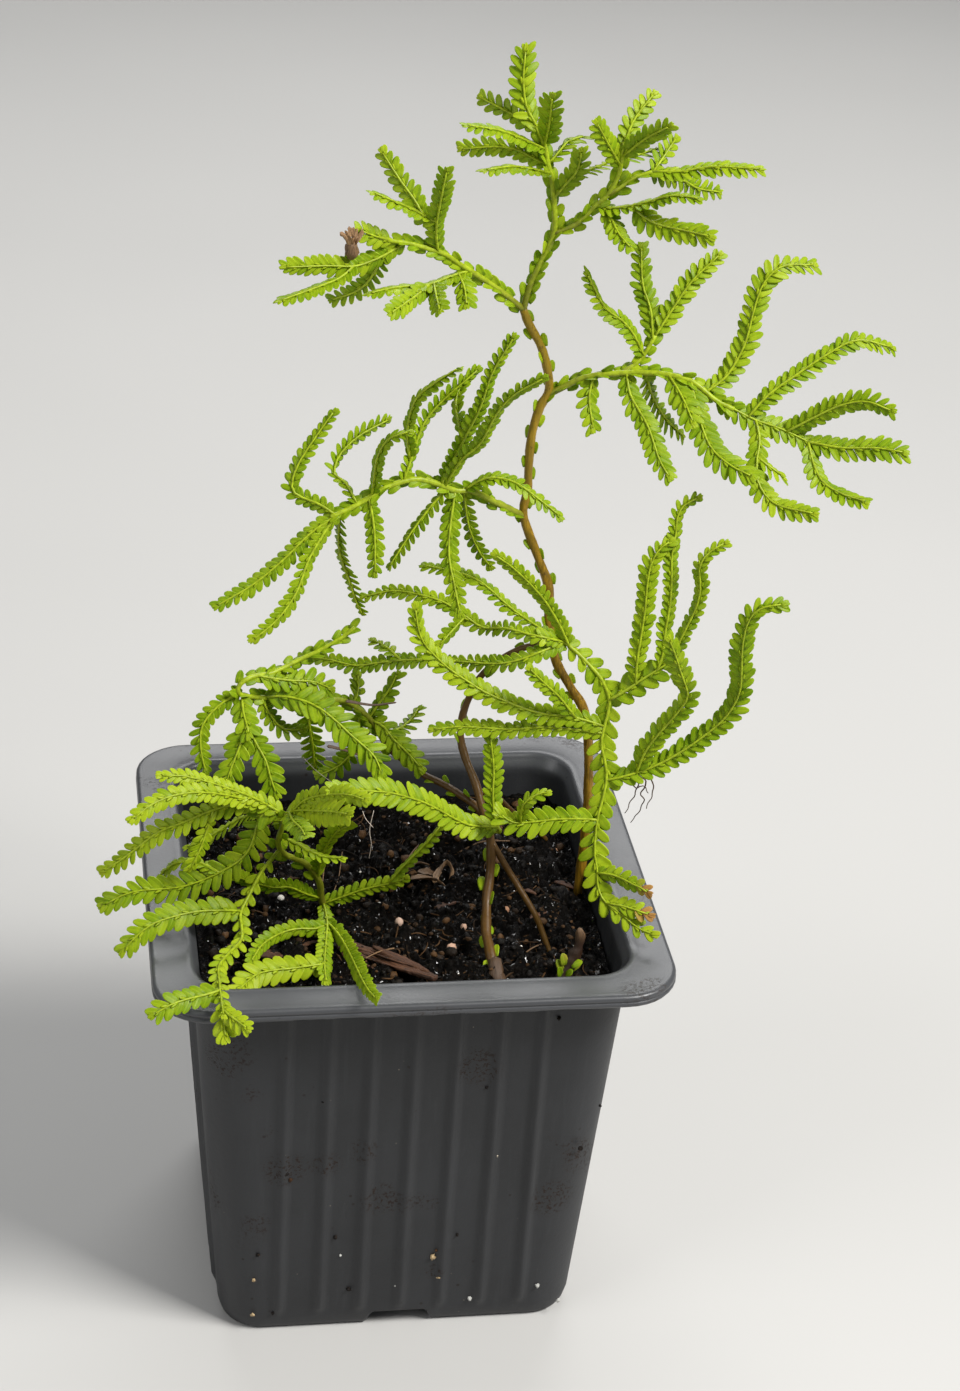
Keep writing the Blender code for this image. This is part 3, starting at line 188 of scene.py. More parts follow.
class Look:
    """One material, built from nodes."""

    def __init__(self, name, **fixed):
        self.material = bpy.data.materials.new(name)
        self.material.use_nodes = True
        self.tree = self.material.node_tree
        self.shader = self.tree.nodes["Principled BSDF"]
        for socket, value in fixed.items():
            self.shader.inputs[socket.replace("_", " ")].default_value = value

    def node(self, kind, settings=None, inputs=None):
        """A node of a type, with its settings made first and then its sockets set or linked."""
        made = self.tree.nodes.new(kind)
        for key, value in (settings or {}).items():
            if key == "stops":
                ramp = made.color_ramp
                while len(ramp.elements) < len(value):
                    ramp.elements.new(0.5)
                for element, (place, colour) in zip(ramp.elements, value):
                    element.position = place
                    element.color = (*colour, 1.0)
            else:
                setattr(made, key, value)
        for key, value in (inputs or {}).items():
            if isinstance(value, Value):
                self.tree.links.new(value.socket, made.inputs[key])
            else:
                made.inputs[key].default_value = value
        return made

    def sum(self, operation, first, second):
        made = self.node("ShaderNodeMath", {"operation": operation}, {0: first, 1: second})
        return Value(self, made.outputs[0])

    def place(self, stretch=(1.0, 1.0, 1.0)):
        """Object coordinates in millimetres, stretched along an axis where asked."""
        where = self.node("ShaderNodeTexCoord").outputs["Object"]
        scale = tuple(1000.0 * part for part in stretch)
        made = self.node("ShaderNodeMapping", None, {"Vector": Value(self, where), "Scale": scale})
        return Value(self, made.outputs[0])

    def attribute(self, name):
        return Value(self, self.node("ShaderNodeAttribute", {"attribute_name": name}).outputs["Fac"])

    def noise(self, place, scale, detail=3.0, rough=0.55):
        made = self.node("ShaderNodeTexNoise", None,
                         {"Vector": place, "Scale": scale, "Detail": detail, "Roughness": rough})
        return Value(self, made.outputs["Fac"])

    def cells(self, place, scale):
        made = self.node("ShaderNodeTexVoronoi", None, {"Vector": place, "Scale": scale})
        return Value(self, made.outputs["Distance"])

    def steps(self, value, low, high, start=0.0, end=1.0):
        """The value carried smoothly from one range to another, and held at the ends."""
        made = self.node("ShaderNodeMapRange", {"interpolation_type": "SMOOTHSTEP", "clamp": True},
                         {"Value": value, "From Min": low, "From Max": high, "To Min": start,
                          "To Max": end})
        return Value(self, made.outputs["Result"])

    def mix(self, share, first, second):
        """Two colours mixed by a share."""
        pair = [part if isinstance(part, Value) else (*part, 1.0) for part in (first, second)]
        made = self.node("ShaderNodeMix", {"data_type": "RGBA", "clamp_factor": True},
                         {0: share, 6: pair[0], 7: pair[1]})
        return Value(self, made.outputs[2])

    def grain(self, across, along, number):
        """Places for a noise that runs along a strip, another for each number."""
        made = self.node("ShaderNodeCombineXYZ", None, {0: across, 1: along, 2: number})
        return Value(self, made.outputs[0])

    def bump(self, height, strength, distance):
        made = self.node("ShaderNodeBump", None,
                         {"Height": height, "Strength": strength, "Distance": distance})
        self.feed("Normal", Value(self, made.outputs["Normal"]))

    def feed(self, socket, value):
        self.tree.links.new(value.socket, self.shader.inputs[socket])

    def dress(self, paint, rough, height, strength, distance):
        """Feed colour, roughness where it varies, and relief; gives the finished material."""
        self.feed("Base Color", paint)
        if rough is not None:
            self.feed("Roughness", rough)
        self.bump(height, strength, distance)
        return self.material


def colours():
    return bpy.context.scene.spikemoss_colours


def shade(colour, by):
    """A colour made darker or lighter by a factor."""
    return tuple(min(1.0, part * by) for part in colour)


# Smears of soil on the front wall: place across, height and reach
SMEARS = ((-21.8, 39.4, 4.2), (-14.6, 40.0, 3.0), (-7.9, 42.8, 3.0), (-4.6, 31.4, 4.2),
          (30.8, 40.4, 3.0), (26.7, 29.3, 4.6), (11.5, 60.8, 4.6), (6.2, 13.0, 2.0))


def look_plastic(name):
    """Blue grey moulded plastic: faint clouding, fine grain, the rim painted lighter as painted light
    on its top and lip, soil specks and scuffs.
    """
    tone = tuple(colours().plastic)
    look = Look(name, Roughness=0.5, Specular_IOR_Level=0.32, Coat_Roughness=0.3)
    place = look.place()
    cloud = look.noise(place, 0.045, 4.0, 0.6)
    grain = look.noise(place, 3.2, 3.0, 0.6)
    streak = look.noise(look.place((1.0, 1.0, 0.06)), 0.9, 3.0, 0.6)
    paint = look.mix(look.steps(cloud, 0.35, 0.68), shade(tone, 0.86), shade(tone, 1.2))
    paint = look.mix(look.steps(streak, 0.52, 0.75) * 0.30, paint, shade(tone, 1.55))
    paint = look.mix(look.steps(grain, 0.60, 0.78) * 0.35, paint, shade(tone, 1.5))
    split = look.node("ShaderNodeSeparateXYZ", None, {0: place})
    height = Value(look, split.outputs[2])
    # The rim band is painted lighter: painted light and painted highlight for the light that its top
    # and lip catch
    rim = look.steps(height, 76.8, 78.6)
    paint = look.mix(rim * 0.8, paint, shade(tone, 2.55))
    scuff_area = look.steps(look.noise(place, 0.055, 2.0), 0.62, 0.72)
    scuff_area = scuff_area * look.steps(height, 14.0, 30.0) * 0.6
    for x, z, reach in SMEARS:
        y = -wall_width(z) / 2
        gap = look.node("ShaderNodeVectorMath", {"operation": "DISTANCE"}, {0: place, 1: (x, y, z)})
        gap = Value(look, gap.outputs["Value"])
        scuff_area = scuff_area + look.steps(gap, reach * 1.35, reach * 0.2)
    scuff = look.steps(look.noise(place, 1.5, 6.0, 0.72), 0.50, 0.60)
    scuff = scuff * look.steps(scuff_area, 0.05, 0.8)
    paint = look.mix(scuff * 0.9, paint, (0.020, 0.011, 0.007))
    specks = look.steps(look.cells(place, 0.28), 0.115, 0.06)
    keep = look.steps(look.noise(place, 0.11, 2.0), 0.50, 0.58)
    paint = look.mix(specks * keep, paint, (0.012, 0.009, 0.008))
    pale = look.steps(look.cells(place, 0.45), 0.075, 0.04)
    pale = pale * look.steps(look.noise(place, 0.16, 1.0), 0.60, 0.66)
    paint = look.mix(pale * 0.6, paint, (0.22, 0.19, 0.15))
    look.feed("Coat Weight", rim * 0.4)
    return look.dress(paint, look.steps(cloud, 0.3, 0.7, 0.44, 0.56) + scuff * 0.3 - rim * 0.06,
                      grain * 0.35 + look.noise(place, 0.9, 4.0) * 0.7 + scuff * 0.8, 0.35, 0.00016)


def look_soil(name):
    """Damp peat: near black crumbs with brown lights, and a wet shine in scattered patches."""
    tone = tuple(colours().peat)
    look = Look(name, Roughness=0.6, Specular_IOR_Level=0.10, Coat_Roughness=0.10)
    place = look.place()
    crumb = look.noise(place, 0.55, 6.0, 0.7)
    fine = look.noise(place, 2.4, 4.0, 0.7)
    paint = look.mix(look.steps(crumb, 0.42, 0.66), shade(tone, 0.45), shade(tone, 1.9))
    paint = look.mix(look.steps(fine, 0.62, 0.76) * 0.5, paint, (0.045, 0.024, 0.012))
    fibre = look.steps(look.noise(look.place((0.25, 1.0, 1.0)), 2.2, 2.0), 0.66, 0.72)
    paint = look.mix(fibre * 0.6, paint, (0.12, 0.065, 0.028))
    look.feed("Coat Weight", look.steps(look.noise(place, 1.1, 4.0, 0.65), 0.56, 0.62) * 0.8)
    return look.dress(paint, look.steps(look.noise(place, 0.35, 3.0), 0.40, 0.58, 0.35, 0.85),
                      crumb * 1.3 + fine * 0.6, 1.0, 0.0009)


def look_crumb(name):
    """Loose crumbs and fibres, each darker or browner by its own tone."""
    look = Look(name, Roughness=0.55, Specular_IOR_Level=0.16)
    place = look.place()
    tone = look.attribute("tone")
    fine = look.noise(place, 2.8, 4.0, 0.7)
    paint = look.mix(look.steps(tone, 0.35, 0.98), (0.003, 0.002, 0.001), (0.085, 0.042, 0.015))
    paint = look.mix(look.steps(fine, 0.55, 0.75) * 0.4, paint, (0.05, 0.028, 0.013))
    return look.dress(paint, look.steps(fine, 0.3, 0.7, 0.32, 0.78), fine, 0.7, 0.0003)


def look_wall_crumb(name):
    """Crumbs on the wall: near black or brown at low tone, straw coloured or white above it."""
    look = Look(name, Roughness=0.7, Specular_IOR_Level=0.2)
    tone = look.attribute("tone")
    fine = look.noise(look.place(), 2.6, 4.0, 0.7)
    paint = look.mix(look.steps(tone, 0.3, 0.9), (0.006, 0.004, 0.003), (0.08, 0.035, 0.012))
    paint = look.mix(look.steps(tone, 1.0, 1.4), paint, (0.46, 0.34, 0.19))
    paint = look.mix(look.steps(tone, 1.6, 1.8), paint, (0.50, 0.50, 0.47))
    paint = look.mix(look.steps(fine, 0.52, 0.66) * 0.6, paint, (0.05, 0.03, 0.015))
    return look.dress(paint, None, fine, 0.6, 0.0002)


def look_grit(name):
    """Pale grit and seeds: white, buff or pink by tone, pitted and stained by the soil."""
    look = Look(name, Roughness=0.72)
    place = look.place()
    tone = look.attribute("tone")
    pits = look.noise(place, 1.8, 5.0, 0.65)
    paint = look.mix(look.steps(tone, 0.25, 0.85), (0.44, 0.23, 0.13), (0.80, 0.77, 0.70))
    paint = look.mix(look.steps(pits, 0.55, 0.70) * 0.75, paint, (0.10, 0.055, 0.03))
    return look.dress(paint, look.steps(pits, 0.3, 0.7, 0.55, 0.85), pits, 0.6, 0.00025)


def look_bark(name):
    """Split bark: reddish brown with dark grain along the chip and pale fibres."""
    look = Look(name, Roughness=0.62)
    across, along, tone = (look.attribute(name) for name in ("across", "along", "tone"))
    grain = look.noise(look.grain(across * 9.0, along * 1.6, tone * 9.0), 1.6, 6.0, 0.68)
    paint = look.mix(look.steps(grain, 0.38, 0.64), (0.018, 0.007, 0.003), (0.16, 0.062, 0.024))
    paint = look.mix(look.steps(grain, 0.62, 0.76) * 0.7, paint, (0.36, 0.20, 0.10))
    paint = look.mix(look.steps(look.noise(look.place(), 0.6, 3.0), 0.56, 0.7) * 0.7, paint,
                     (0.014, 0.009, 0.006))
    return look.dress(paint, look.steps(grain, 0.3, 0.7, 0.5, 0.75), grain, 0.8, 0.0004)


def look_dried(name):
    """Dried leaf and stem: tan to reddish brown, streaked along its length."""
    look = Look(name, Roughness=0.6)
    across, along, tone = (look.attribute(name) for name in ("across", "along", "tone"))
    streak = look.noise(look.grain(across * 5.0, along * 2.0, tone * 5.0), 1.5, 5.0, 0.65)
    paint = look.mix(tone, (0.030, 0.013, 0.005), (0.30, 0.17, 0.075))
    paint = look.mix(look.steps(streak, 0.50, 0.66) * 0.8, paint, (0.016, 0.008, 0.004))
    paint = look.mix(look.steps(streak, 0.40, 0.30) * 0.5 * tone, paint, (0.55, 0.38, 0.20))
    return look.dress(paint, look.steps(streak, 0.3, 0.7, 0.45, 0.7), streak, 0.6, 0.0003)


def look_old_stem(name):
    """Old stem: orange brown, greener towards the tip, with fine lengthwise grain and dark spots."""
    bark = tuple(colours().bark)
    look = Look(name, Roughness=0.42, Specular_IOR_Level=0.3)
    place = look.place()
    along = look.attribute("along")
    tone = look.attribute("tone")
    grain = look.noise(look.place((1.0, 1.0, 0.16)), 1.7, 4.0, 0.6)
    spots = look.noise(place, 0.9, 4.0, 0.7)
    paint = look.mix(look.steps(grain, 0.36, 0.66), shade(bark, 0.6), shade(bark, 1.45))
    paint = look.mix(look.steps(along, 0.40, 1.0) * 0.8, paint, (0.26, 0.18, 0.010))
    paint = look.mix(look.steps(tone, 0.2, 0.8) * 0.9, paint, (0.072, 0.034, 0.008))
    paint = look.mix(look.steps(spots, 0.58, 0.68) * 0.6, paint, (0.05, 0.022, 0.008))
    return look.dress(paint, look.steps(spots, 0.35, 0.65, 0.34, 0.52), grain + spots * 0.5, 0.5,
                      0.00018)


def look_green_stem(name):
    """Young stem: waxy yellow green, streaked along, browner where it is old."""
    look = Look(name, Roughness=0.4, Specular_IOR_Level=0.3)
    young = tuple(colours().young)
    place = look.place()
    streak = look.noise(place, 1.1, 4.0, 0.6)
    paint = look.mix(look.steps(streak, 0.35, 0.68), shade(young, 0.75), shade(young, 1.15))
    paint = look.mix(look.steps(look.attribute("tone"), 0.15, 0.85) * 0.85, paint, (0.13, 0.10, 0.016))
    return look.dress(paint, look.steps(streak, 0.3, 0.7, 0.34, 0.48), streak, 0.4, 0.00012)


def look_leaf(name):
    """Scale leaves: green by tone, painted shade at the foot, paler at the edge and the midrib, fine
    cells, dry tips.
    """
    young, grown, deep = tuple(colours().young), tuple(colours().grown), tuple(colours().deep)
    look = Look(name, Roughness=0.42, Specular_IOR_Level=0.13, Subsurface_Weight=0.12,
                Subsurface_Radius=(0.5, 1.0, 0.1), Subsurface_Scale=0.0006)
    place = look.place()
    along, across, tone, dry = (look.attribute(name) for name in Skin.VALUES)
    patch = look.noise(place, 0.35, 3.0, 0.6)
    cells = look.noise(place, 5.5, 3.0, 0.6)
    paint = look.mix(look.steps(tone, 0.0, 0.5), deep, grown)
    paint = look.mix(look.steps(tone, 0.5, 1.0), paint, young)
    paint = look.mix(look.steps(patch, 0.40, 0.66) * 0.45, paint, shade(young, 1.02))
    # Each leaf is painted deeper green at its foot: painted shade where it lies under the leaf before
    # it
    paint = look.mix(look.steps(along, 0.35, 0.0) * 0.38, paint, deep)
    far = across * across
    paint = look.mix(look.steps(far, 0.62, 1.0) * 0.40, paint, shade(young, 1.2))
    paint = look.mix(look.steps(far, 0.05, 0.0) * 0.22, paint, shade(young, 1.15))
    paint = look.mix(look.steps(cells, 0.45, 0.70) * 0.16, paint, shade(deep, 0.9))
    paint = look.mix(look.steps(dry + patch * 0.6, 0.75, 1.15), paint, (0.33, 0.17, 0.045))
    return look.dress(paint, look.steps(cells, 0.3, 0.7, 0.34, 0.5),
                      cells * 0.6 + look.steps(far, 0.0, 0.18) * 0.7, 0.35, 0.00008)


def look_table(name):
    """Pale table top: even, with a faint cloud and a very fine grain."""
    tone = tuple(colours().table)
    look = Look(name, Roughness=0.6)
    place = look.place()
    cloud = look.noise(place, 0.004, 2.0)
    return look.dress(look.mix(look.steps(cloud, 0.3, 0.7), shade(tone, 0.985), shade(tone, 1.015)),
                      None, look.noise(place, 1.2, 2.0), 0.05, 0.0001)


LOOKS = {
    "matte_plastic": look_plastic,
    "damp_soil": look_soil,
    "crumb": look_crumb,
    "wall_crumb": look_wall_crumb,
    "pale_grit": look_grit,
    "split_bark": look_bark,
    "dried_leaf": look_dried,
    "old_stem": look_old_stem,
    "scale_leaf": look_leaf,
    "green_stem": look_green_stem,
    "pale_table": look_table,
}


def look_named(name):
    """The material of that name, made once."""
    found = bpy.data.materials.get(name)
    return found if found is not None else LOOKS[name](name)


# Meshes from whole arrays
class Skin:
    """Corners, faces and corner values gathered from many surfaces, then made one mesh."""

    VALUES = ("along", "across", "tone", "dry")

    def __init__(self):
        self.verts, self.fours, self.threes = [], [], []
        self.values = {name: [] for name in self.VALUES}
        self.count = 0

    def add(self, verts, fours, threes, **values):
        """Take in corners (n, 3), quads (m, 4) and triangles (k, 3) of one surface."""
        verts = np.asarray(verts, dtype=float).reshape(-1, 3)
        self.verts.append(verts)
        self.fours.append(np.asarray(fours, dtype=int).reshape(-1, 4) + self.count)
        self.threes.append(np.asarray(threes, dtype=int).reshape(-1, 3) + self.count)
        for name in self.VALUES:
            given = np.asarray(values.get(name, 0.0), dtype=float)
            self.values[name].append(np.broadcast_to(given.reshape(-1), (len(verts),))
                                     if given.size in (1, len(verts)) else np.zeros(len(verts)))
        self.count += len(verts)

    def add_many(self, verts, fours, threes, **values):
        """Take in corners (count, n, 3) of many surfaces that have the same faces."""
        step = np.arange(len(verts))[:, None, None] * verts.shape[1]
        self.add(verts.reshape(-1, 3), (fours[None] + step).reshape(-1, 4),
                 (threes[None] + step).reshape(-1, 3), **values)

    def piece(self, name, look, replaces, slot):
        """One finished object at the origin, with a look by name, riding the root body."""
        mesh = bpy.data.meshes.new(name)
        verts = np.concatenate(self.verts) * MM
        faces = np.concatenate(self.fours).tolist() + np.concatenate(self.threes).tolist()
        mesh.from_pydata(verts.tolist(), [], faces)
        for value in self.VALUES:
            layer = mesh.attributes.new(value, "FLOAT", "POINT")
            layer.data.foreach_set("value", np.concatenate(self.values[value]))
        mesh.polygons.foreach_set("use_smooth", np.full(len(faces), True))
        mesh.materials.append(look_named(look))
        mesh.update()
        if mesh.validate():
            raise RuntimeError(f"{name} has faces that Blender had to mend")
        item = bpy.data.objects.new(name, mesh)
        bpy.context.scene.collection.objects.link(item)
        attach(item, "root")
        if replaces:
            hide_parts(replaces)


def grid_faces(rows, around):
    """Quads of a grid of rows that closes round, and the triangles to a pole before and after."""
    row, step = np.meshgrid(np.arange(rows - 1), np.arange(around), indexing="ij")
    after = (step + 1) % around
    fours = np.stack([row * around + step, row * around + after, (row + 1) * around + after,
                      (row + 1) * around + step], axis=-1).reshape(-1, 4)
    here = np.arange(around)
    there = (here + 1) % around
    first, last = rows * around, rows * around + 1
    low = np.stack([np.full(around, first), there, here], axis=-1)
    high = np.stack([(rows - 1) * around + here, (rows - 1) * around + there, np.full(around, last)],
                    axis=-1)
    return fours, np.concatenate([low, high])


def unit_rows(vectors):
    return vectors / np.maximum(np.linalg.norm(vectors, axis=-1, keepdims=True), 1e-9)


def spot(x, z, y):
    """The point at depth y on the sight line through (x, 0, z)."""
    reach = (y - EYE[1]) / -EYE[1]
    return EYE + (np.array([x, 0.0, z]) - EYE) * reach


def route(points):
    """Points of a route, given as x, z and depth, as places in the room."""
    return np.array([spot(*point) for point in points])


def distances(path):
    """How far along the path each of its rows is."""
    return np.concatenate([[0.0], np.cumsum(np.linalg.norm(np.diff(path, axis=0), axis=1))])


def whole_length(path):
    """The length of a path from its first row to its last."""
    return float(np.sum(np.linalg.norm(np.diff(path, axis=0), axis=1)))


def smooth(points, spacing):
    """Even samples along a Catmull-Rom curve through the points."""
    ends = np.vstack([2 * points[0] - points[1], points, 2 * points[-1] - points[-2]])
    first, second, third, fourth = ends[:-3, None], ends[1:-2, None], ends[2:-1, None], ends[3:, None]
    t = np.linspace(0.0, 1.0, 12, endpoint=False)[None, :, None]
    fine = 0.5 * (2 * second + (third - first) * t
                  + (2 * first - 5 * second + 4 * third - fourth) * t * t
                  + (3 * second - first - 3 * third + fourth) * t ** 3)
    fine = np.vstack([fine.reshape(-1, 3), points[-1]])
    along = distances(fine)
    count = max(2, round(along[-1] / spacing))
    return resample(fine, np.linspace(0.0, along[-1], count + 1))


def read_along(path, tracks, wanted):
    """Each track of numbers or rows given along a path, read at the wanted distances."""
    along = distances(path)
    read = []
    for track in map(np.asarray, tracks):
        if track.ndim == 1:
            read.append(np.interp(wanted, along, track))
        else:
            read.append(np.column_stack([np.interp(wanted, along, line) for line in track.T]))
    return read


def resample(path, wanted):
    """Rows read along a path at the wanted distances."""
    return read_along(path, (path,), wanted)[0]


def unit(vector):
    return vector / max(np.linalg.norm(vector), 1e-9)


# The way most fronds turn their upper faces: forward and up
FACING = unit(np.array([-0.12, -0.74, 0.66]))


def frames(path, turn=0.0):
    """Tangent, side and face directions along a path, with the face turned about the path."""
    tangents = unit_rows(np.gradient(path, axis=0))
    face, faces = FACING, []
    for tangent in tangents:
        wanted = 0.55 * face + 0.45 * FACING
        face = unit(wanted - wanted.dot(tangent) * tangent)
        faces.append(face)
    faces = np.array(faces)
    sides = np.cross(tangents, faces)
    turned = math.cos(turn) * sides + math.sin(turn) * faces
    return tangents, turned, math.cos(turn) * faces - math.sin(turn) * sides


def by_ring(values, around, ends):
    """One value for each ring, repeated round it, then the values of the two ends."""
    return np.concatenate([np.repeat(values, around), ends])


def bulge(path, wide, start, span, power=1.0):
    """Widths along a path: wide times a power of the sine of a half turn's share, which runs from
    start on by span."""
    return wide * np.sin(np.pi * (start + span * np.linspace(0.0, 1.0, len(path)))) ** power


def tube(skin, path, radii, around=8, flat=1.0, rough=0.0, noise=None, **values):
    """A round profile carried along a path: the middle plus radius times (cos a along the side
    direction less sin a along the face direction), closed to a point at both ends. flat squeezes
    the face direction and rough swells each ring by a random share."""
    tangents, sides, faces = frames(path)
    radii = np.broadcast_to(np.asarray(radii, dtype=float), (len(path),)).copy()
    angle = 2 * np.pi * np.arange(around) / around
    swell = np.ones((len(path), around))
    if rough:
        swell += rough * noise.normal(size=(len(path), around))
    ring = (np.cos(angle)[None, :, None] * sides[:, None]
            - flat * np.sin(angle)[None, :, None] * faces[:, None])
    verts = path[:, None] + (radii[:, None] * swell)[:, :, None] * ring
    ends = np.array([path[0] - tangents[0] * radii[0] * 0.6, path[-1] + tangents[-1] * radii[-1] * 0.6])
    fours, threes = grid_faces(len(path), around)
    across = np.concatenate([np.tile(np.cos(angle), len(path)), [0.0, 0.0]])
    skin.add(np.vstack([verts.reshape(-1, 3), ends]), fours, threes, across=across,
             along=by_ring(np.linspace(0.0, 1.0, len(path)), around, (0.0, 1.0)), **values)


def leaf_blades(skin, base, ahead, side, up, length, width, tone, dry, rows, around, thick, cup, bend):
    """Many leaves at once. Each is a closed lens on a grid of two numbers: a, from foot to tip, and
    the angle q round the section. A corner is the foot plus a times length ahead, plus half the
    width times shape(a) times cos q to the side, plus up the sum of width times cup times shape(a)
    times the square of cos q, length times bend times the square of a, and half the thickness times
    shape(a) times sin q. shape(a) is the square root of 1 less the cube of |2 b - 1|, where b runs
    from 0.16 to 1: oblong, broad at the foot and rounded at the tip."""
    count = len(base)
    a = 1.0 - (1.0 - np.linspace(0.03, 0.93, rows)) ** 1.25
    shape = (1.0 - np.abs(2.0 * (0.16 + 0.84 * a) - 1.0) ** 3.0) ** 0.5
    q = 2 * np.pi * np.arange(around) / around
    cross, lift = np.cos(q), np.sin(q)
    length, width = length[:, None, None], width[:, None, None]
    bend, cup = np.asarray(bend).reshape(-1, 1, 1), np.asarray(cup).reshape(-1, 1, 1)
    along = length * a[None, :, None]
    wide = 0.5 * width * shape[None, :, None] * cross[None, None, :]
    high = (length * bend * a[None, :, None] ** 2
            + width * cup * shape[None, :, None] * cross[None, None, :] ** 2
            + 0.5 * thick * shape[None, :, None] * lift[None, None, :])
    verts = (base[:, None, None] + along[..., None] * ahead[:, None, None]
             + wide[..., None] * side[:, None, None]
             + high[..., None] * up[:, None, None]).reshape(count, -1, 3)
    tip = base + length[:, 0] * ahead + (length * bend)[:, 0] * up
    verts = np.concatenate([verts, base[:, None], tip[:, None]], axis=1)
    corners = verts.shape[1]
    skin.add_many(verts, *grid_faces(rows, around), tone=np.repeat(tone, corners),
                  dry=np.repeat(dry, corners), along=np.tile(by_ring(a, around, (0.0, 1.0)), count),
                  across=np.tile(np.concatenate([np.tile(cross, rows), [0.0, 0.0]]), count))


class Spray:
    """A leafy branch system: stems, then fronds rooted on what is already there."""

    def __init__(self):
        self.plane, self.world, self.stems, self.fronds = [], [], [], []

    def remember(self, flat, path):
        """Keep the points of a path, in the picture and in the room, for others to root on."""
        self.plane += [tuple(point) for point in flat]
        self.world += [tuple(point) for point in path]

    def seen_flat(self, path):
        """Where the points are seen on the picture's plane."""
        reach = (path[:, 1] - EYE[1]) / -EYE[1]
        return ((path - EYE) / reach[:, None] + EYE)[:, [0, 2]]

    def stem(self, points, root, tip, trim=0.0):
        """A stem with its radius at both ends. Nothing is rooted on its first stretch, the trim."""
        fine = smooth(route(points), SPRAY_STEM_STEP)
        self.stems.append((fine, root, tip))
        free = fine[:, 2] > SOIL_LEVEL + 1.5
        free &= np.linalg.norm(fine - fine[0], axis=1) > (trim + 0.5 if trim else -1.0)
        self.remember(self.seen_flat(fine)[free], fine[free])

    def nearest(self, x, z):
        gaps = np.hypot(*(np.array(self.plane) - (x, z)).T)
        return int(gaps.argmin())

    def frond(self, width, depth, points, pitch=5.4):
        """A frond of the given seen width, rooted on the nearest stem or frond, with its tip at the
        given depth. The pitch is the solid's leaf spacing: one from 4 to 5 mm marks a bare frond."""
        start = np.array(self.world[self.nearest(*points[0][:2])])
        steps = [math.hypot(b[0] - a[0], b[1] - a[1]) for a, b in zip(points, points[1:])]
        along = np.concatenate([[0.0], np.cumsum(steps)]) / sum(steps)
        placed = [start]
        for share, point in zip(along[1:], points[1:]):
            here = point[2] if len(point) > 2 else start[1] + (depth - start[1]) * share
            placed.append(spot(point[0], point[1], here))
        path = smooth(np.array(placed), pitch / 4)
        full = max(width, LEAST_WIDTH)
        order = len(self.stems) + len(self.fronds)
        turn = math.acos(min(1.0, width / full)) * (1 if order % 2 else -1)
        self.fronds.append((path, full, turn, 4.0 < pitch < 5.0))
        self.remember(self.seen_flat(path), path)


# How far a leaf leans over the next, against the frond's face direction
LEAF_LEAN = 0.09


def set_leaves(skin, noise, base, tangent, side, face, angle, sign, length, width, droop, tone, dry,
               rows=5, around=8, thick=0.15, cup=0.08, bend=-0.10):
    """Point each leaf angle away from the stem on its side, dip it by droop, lean it forward so that
    each lies over the next, and add them all."""
    count = len(base)
    sign = np.broadcast_to(np.asarray(sign, dtype=float), (count,))[:, None]
    angle = (angle + np.radians(2.6) * noise.normal(size=count))[:, None]
    dip = (droop + 0.04 * noise.normal(size=count))[:, None]
    ahead = unit_rows(np.cos(angle) * tangent + sign * np.sin(angle) * side - dip * face)
    roll = 0.06 * noise.normal(size=count)[:, None]
    up = face + roll * side + LEAF_LEAN * tangent
    up = unit_rows(up - np.sum(up * ahead, axis=1, keepdims=True) * ahead)
    length = length * (1.0 + 0.06 * noise.normal(size=count))
    width = width * (1.0 + 0.07 * noise.normal(size=count))
    bend = bend + 0.05 * noise.normal(size=count)
    cup = np.full(count, cup) + 0.05 * noise.normal(size=count)
    leaf_blades(skin, base, ahead, np.cross(up, ahead), up, length, width, tone, dry, rows, around,
                thick, cup, bend)


